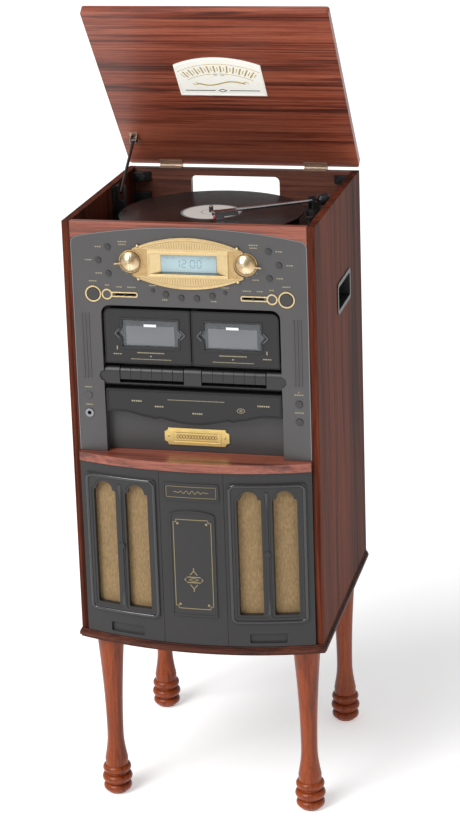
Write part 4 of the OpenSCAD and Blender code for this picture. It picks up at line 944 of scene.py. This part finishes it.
def dress_centre_panel():
    """Fine gold line with notched corners, four dots, and a small stepped lozenge below the middle;
    on the plaque a framed scroll, a sine wave that dies out towards its ends."""
    low, high = box("centre_panel")
    field = on_bow(1.3)
    height = 0.15
    bottom = low.z + 49
    x, z0, z1, n = 30.5, bottom + 13, bottom + 163, 4.5
    corners = [(-x + n, z0), (x - n, z0), (x - n, z0 + n), (x, z0 + n), (x, z1 - n), (x - n, z1 - n),
               (x - n, z1), (-x + n, z1), (-x + n, z1 - n), (-x, z1 - n), (-x, z0 + n), (-x + n, z0 + n)]
    lines = [outline(field, corners, 1.1, height)]
    cz = bottom + 62
    for s in (-1, 1):
        bar = [(-11, cz + s * 4.5), (11, cz + s * 4.5)]
        roof = [(-6, cz + s * 8), (0, cz + s * 15), (6, cz + s * 8)]
        stem = [(0, cz + s * 15), (0, cz + s * 20)]
        end = [(s * 12, cz - 3), (s * 15, cz), (s * 12, cz + 3)]
        for line, width, step in ((bar, 1.6, 2), (roof, 1.3, 2), (stem, 1.6, 2), (end, 1.2, 1.5)):
            lines.append(stroke(field, dense(line, step), width, height))
    lozenge = [(-8, cz), (0, cz + 2.6), (8, cz), (0, cz - 2.6)]
    lines.append(outline(field, lozenge, 0.9, height, 2))
    piece("panel_lines", lines, pale_gold, "cabinet", False)
    dot = [(0, 1.2), (1.2, 1.0), (2.0, 0.4), (2.1, 0), (0, 0)]
    dots = []
    for s in (-1, 1):
        for z in (z0 + 1.5 * n, z1 - 1.5 * n):
            at, out = field([(s * (x - 1.6 * n), z)])
            dots.append(turned(dot, at[0], out[0], 16))
    piece("panel_dots", dots, pale_gold, "cabinet")
    plaque = on_bow(1.0)
    plaque_z, half_w, half_h = high.z - 33.5, 40, 9
    t = np.linspace(0, 1, 121)
    scroll = np.stack([(t - 0.5) * 56, plaque_z + 2.6 * np.sin(t * FULL_TURN * 6) * np.sin(np.pi * t)], -1)
    border = [(sx * half_w, plaque_z + sz * half_h) for sx, sz in ((-1, -1), (1, -1), (1, 1), (-1, 1))]
    piece("plaque_lines", [stroke(plaque, scroll, 0.9, 0.2), outline(plaque, border, 0.7, 0.2)],
          pale_gold, "cabinet", False)


def frame_beads(name, side):
    """Half-round bead round a loudspeaker frame, and the turned bar between its two openings.

    The bead's cross-section is a half ellipse; the bar's swells towards its ends and its middle."""
    cloth_low, cloth_high = box("grille_cloths")
    bottom, top = cloth_low.z + 8, cloth_high.z - 8
    half_w = (2 * GRILLE_W + MULLION_W) / 2 + 11
    x = box("centre_panel")[1].x + SEAM_GAP + 9 + half_w
    z0, z1, corner = bottom - 11, top + 9, 9
    bends = [(x + sx * (half_w - corner), z0 + corner if sz < 0 else z1 - corner, start)
             for sx, sz, start in ((1, -1, -90), (1, 1, 0), (-1, 1, 90), (-1, -1, 180))]
    line = np.concatenate([arc(cx, cz, corner, start, start + 90, 9) for cx, cz, start in bends])
    t = np.linspace(0, math.pi, 9)
    bead = np.stack([2.6 * np.cos(t), 2.1 * np.sin(t)], -1)
    face = on_bow(2.4)
    parts = [swept(*face(dense(line * (side, 1), 4, True)), bead, True)]
    v = np.linspace(-1, 1, 61)
    bar = np.stack([np.full(61, side * x), (bottom + top) / 2 + v * (top - bottom - 4) / 2], -1)
    swell = 0.55 + 0.45 * v ** 2 + 0.5 * np.exp(-(v / 0.05) ** 2)
    parts.append(swept(*face(bar), bead * (1.15, 0.95), False, swell))
    piece(name, parts, bead_plastic, "cabinet")


def grille_cloth(name, side):
    """Stretched speaker cloth: a sheet on the bow, its depth given by the arc, eased in slightly at
    the middle by a sine along each edge."""
    low, high = box("grille_cloths")
    inner, outer = box("centre_panel")[1].x + 10.2, high.x
    radius = BOW_RADIUS - 8.9
    a0, a1 = (math.asin(x / radius) for x in (inner, outer))
    rows, cols = 49, 81
    u, v = np.meshgrid(np.linspace(0, 1, rows), np.linspace(0, 1, cols), indexing="ij")
    angle = a0 + (a1 - a0) * u
    r = radius - 0.4 * np.sin(np.pi * u) * np.sin(np.pi * v)
    points = np.stack([side * r * np.sin(angle), BOW_CENTRE_Y - r * np.cos(angle),
                       low.z + (high.z - low.z) * v], -1)
    faces = grid_faces(rows, cols)
    mesh = bpy.data.meshes.new(name)
    mesh.from_pydata((points * MM).reshape(-1, 3).tolist(), [],
                     (faces if side < 0 else faces[:, ::-1]).tolist())
    mesh.polygons.foreach_set("use_smooth", [True] * len(mesh.polygons))
    cloth = added(name, mesh, FINISHES["grille_cloth"], "cabinet")
    cloth.modifiers.new("thickness", "SOLIDIFY").thickness = 0.5 * MM
    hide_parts("grille_cloths")


# ---- lid badge ----

def on_badge(line):
    """Places (x, distance up from the badge's foot) on the badge of the lid as it rests, which is the
    closed lid turned about its hinge."""
    hinge = joint("lid_hinge")
    hinge_y, hinge_z = (place / MM for place in hinge["pos_m"][1:])
    turn = math.radians(hinge["range_deg"][1])
    line = np.asarray(line, float)
    y, z = BADGE_FOOT_Y - line[:, 1] - hinge_y, LID_INSIDE_Z - hinge_z
    points = np.stack([line[:, 0], hinge_y + y * math.cos(turn) + z * math.sin(turn),
                       hinge_z - y * math.sin(turn) + z * math.cos(turn)], -1)
    return points, (0, -math.sin(turn), -math.cos(turn))


def dress_badge():
    """An arched band of gold rays between two lines, a curling flourish and a lower rule, on the lid's
    badge. The flourish is one sine wave, and its ends curl in as the radius shrinks."""
    arch_v, height = -46, 0.25
    rays = []
    for k, a in enumerate(np.radians(np.linspace(58, 122, 25))):
        start, end, width = (105, 121, 2.4) if k % 2 else (108, 118, 1.3)
        spoke = np.array([start, (start + end) / 2, end])
        line = np.stack([spoke * math.cos(a), arch_v + spoke * math.sin(a)], -1)
        rays.append(stroke(on_badge, line, width, height))
    rays += [stroke(on_badge, arc(0, arch_v, r, 57, 123, 60), 0.9, height) for r in (101, 125)]
    t = np.linspace(-0.5, 0.5, 81)
    rays.append(stroke(on_badge, np.stack([t * 76, 31 + 4.5 * np.sin(t * FULL_TURN)], -1), 2.6, height))
    t = np.linspace(0, 1.6 * np.pi, 30)
    r = 5 * (1 - t / (2.2 * np.pi))
    for s in (-1, 1):
        curl = np.stack([s * (41 + r * np.cos(t)), 31 + s * r * np.sin(t) * 0.9], -1)
        rays.append(stroke(on_badge, curl, 1.4, height))
    piece("badge_rays", rays, gold_foil, "lid", False)
    rule = [stroke(on_badge, dense([(s * 12, 13), (s * 62, 13)]), 1.8, 0.2) for s in (-1, 1)]
    rule.append(outline(on_badge, [(-7, 13), (0, 16.5), (7, 13), (0, 9.5)], 1.4, 0.2, 2))
    rule += dashes(on_badge, [(s * 6, 52, 6) for s in (-1, 1)], 1.2, 0.2)
    piece("badge_rule", rule, dark_print, "lid", False)


# ---- record deck ----

def dress_deck():
    """Black sleeve of the counterweight, the cartridge's red stylus guard, and the spindle's tip."""
    at = np.array(joint("tonearm_lift")["pos_m"]) / MM
    turn = math.radians(TONEARM_ANGLE)
    back = np.array([math.cos(turn), math.sin(turn), 0.0])
    sleeve = [(0, -0.3), (8.4, -0.3), (9.2, 0.4), (9.2, 3.4), (9.5, 4.0), (9.5, 13.4), (8.8, 15.2),
              (6.0, 15.5), (0, 15.5)]
    piece("weight_sleeve", [turned(sleeve, at + back * 10, back, 48)],
          FINISHES["black_plastic"], "arm")
    guard = [(3.2, 0), (3.6, 0.5), (3.6, 4.0), (3.0, 4.6), (0, 4.6), (0, 0), (3.2, 0)]
    cartridge = at - back * 167 + (0, 0, -9.5)
    piece("stylus_guard", [turned(guard, cartridge, -back, 24)], red_plastic, "arm")
    tip = [(0, 1.8), (1.6, 1.5), (2.9, 0.6), (3.55, 0), (3.55, -6.4), (0, -6.4)]
    disc = middle("record")
    top = (disc.x, disc.y, box("record")[1].z + 9)
    piece("spindle_tip", [turned(tip, top, (0, 0, 1))], chrome, "cabinet")


stand_camera()
studio()
upper_front_marks()
front_rim()
shadow_gap_beads()
escutcheon_engraving()
escutcheon_beads()
display_digits()
knob_collar("volume_collar", "volume_knob", "volume", -1)
knob_collar("tuning_collar", "tuning_knob", "tuning", 1)
dress_door("left", "left_door")
dress_door("right", "right_door")
dress_drawer()
dress_name_plate()
dress_centre_panel()
frame_beads("left_frame_beads", -1)
frame_beads("right_frame_beads", 1)
grille_cloth("left_grille_cloth", -1)
grille_cloth("right_grille_cloth", 1)
dress_badge()
dress_deck()
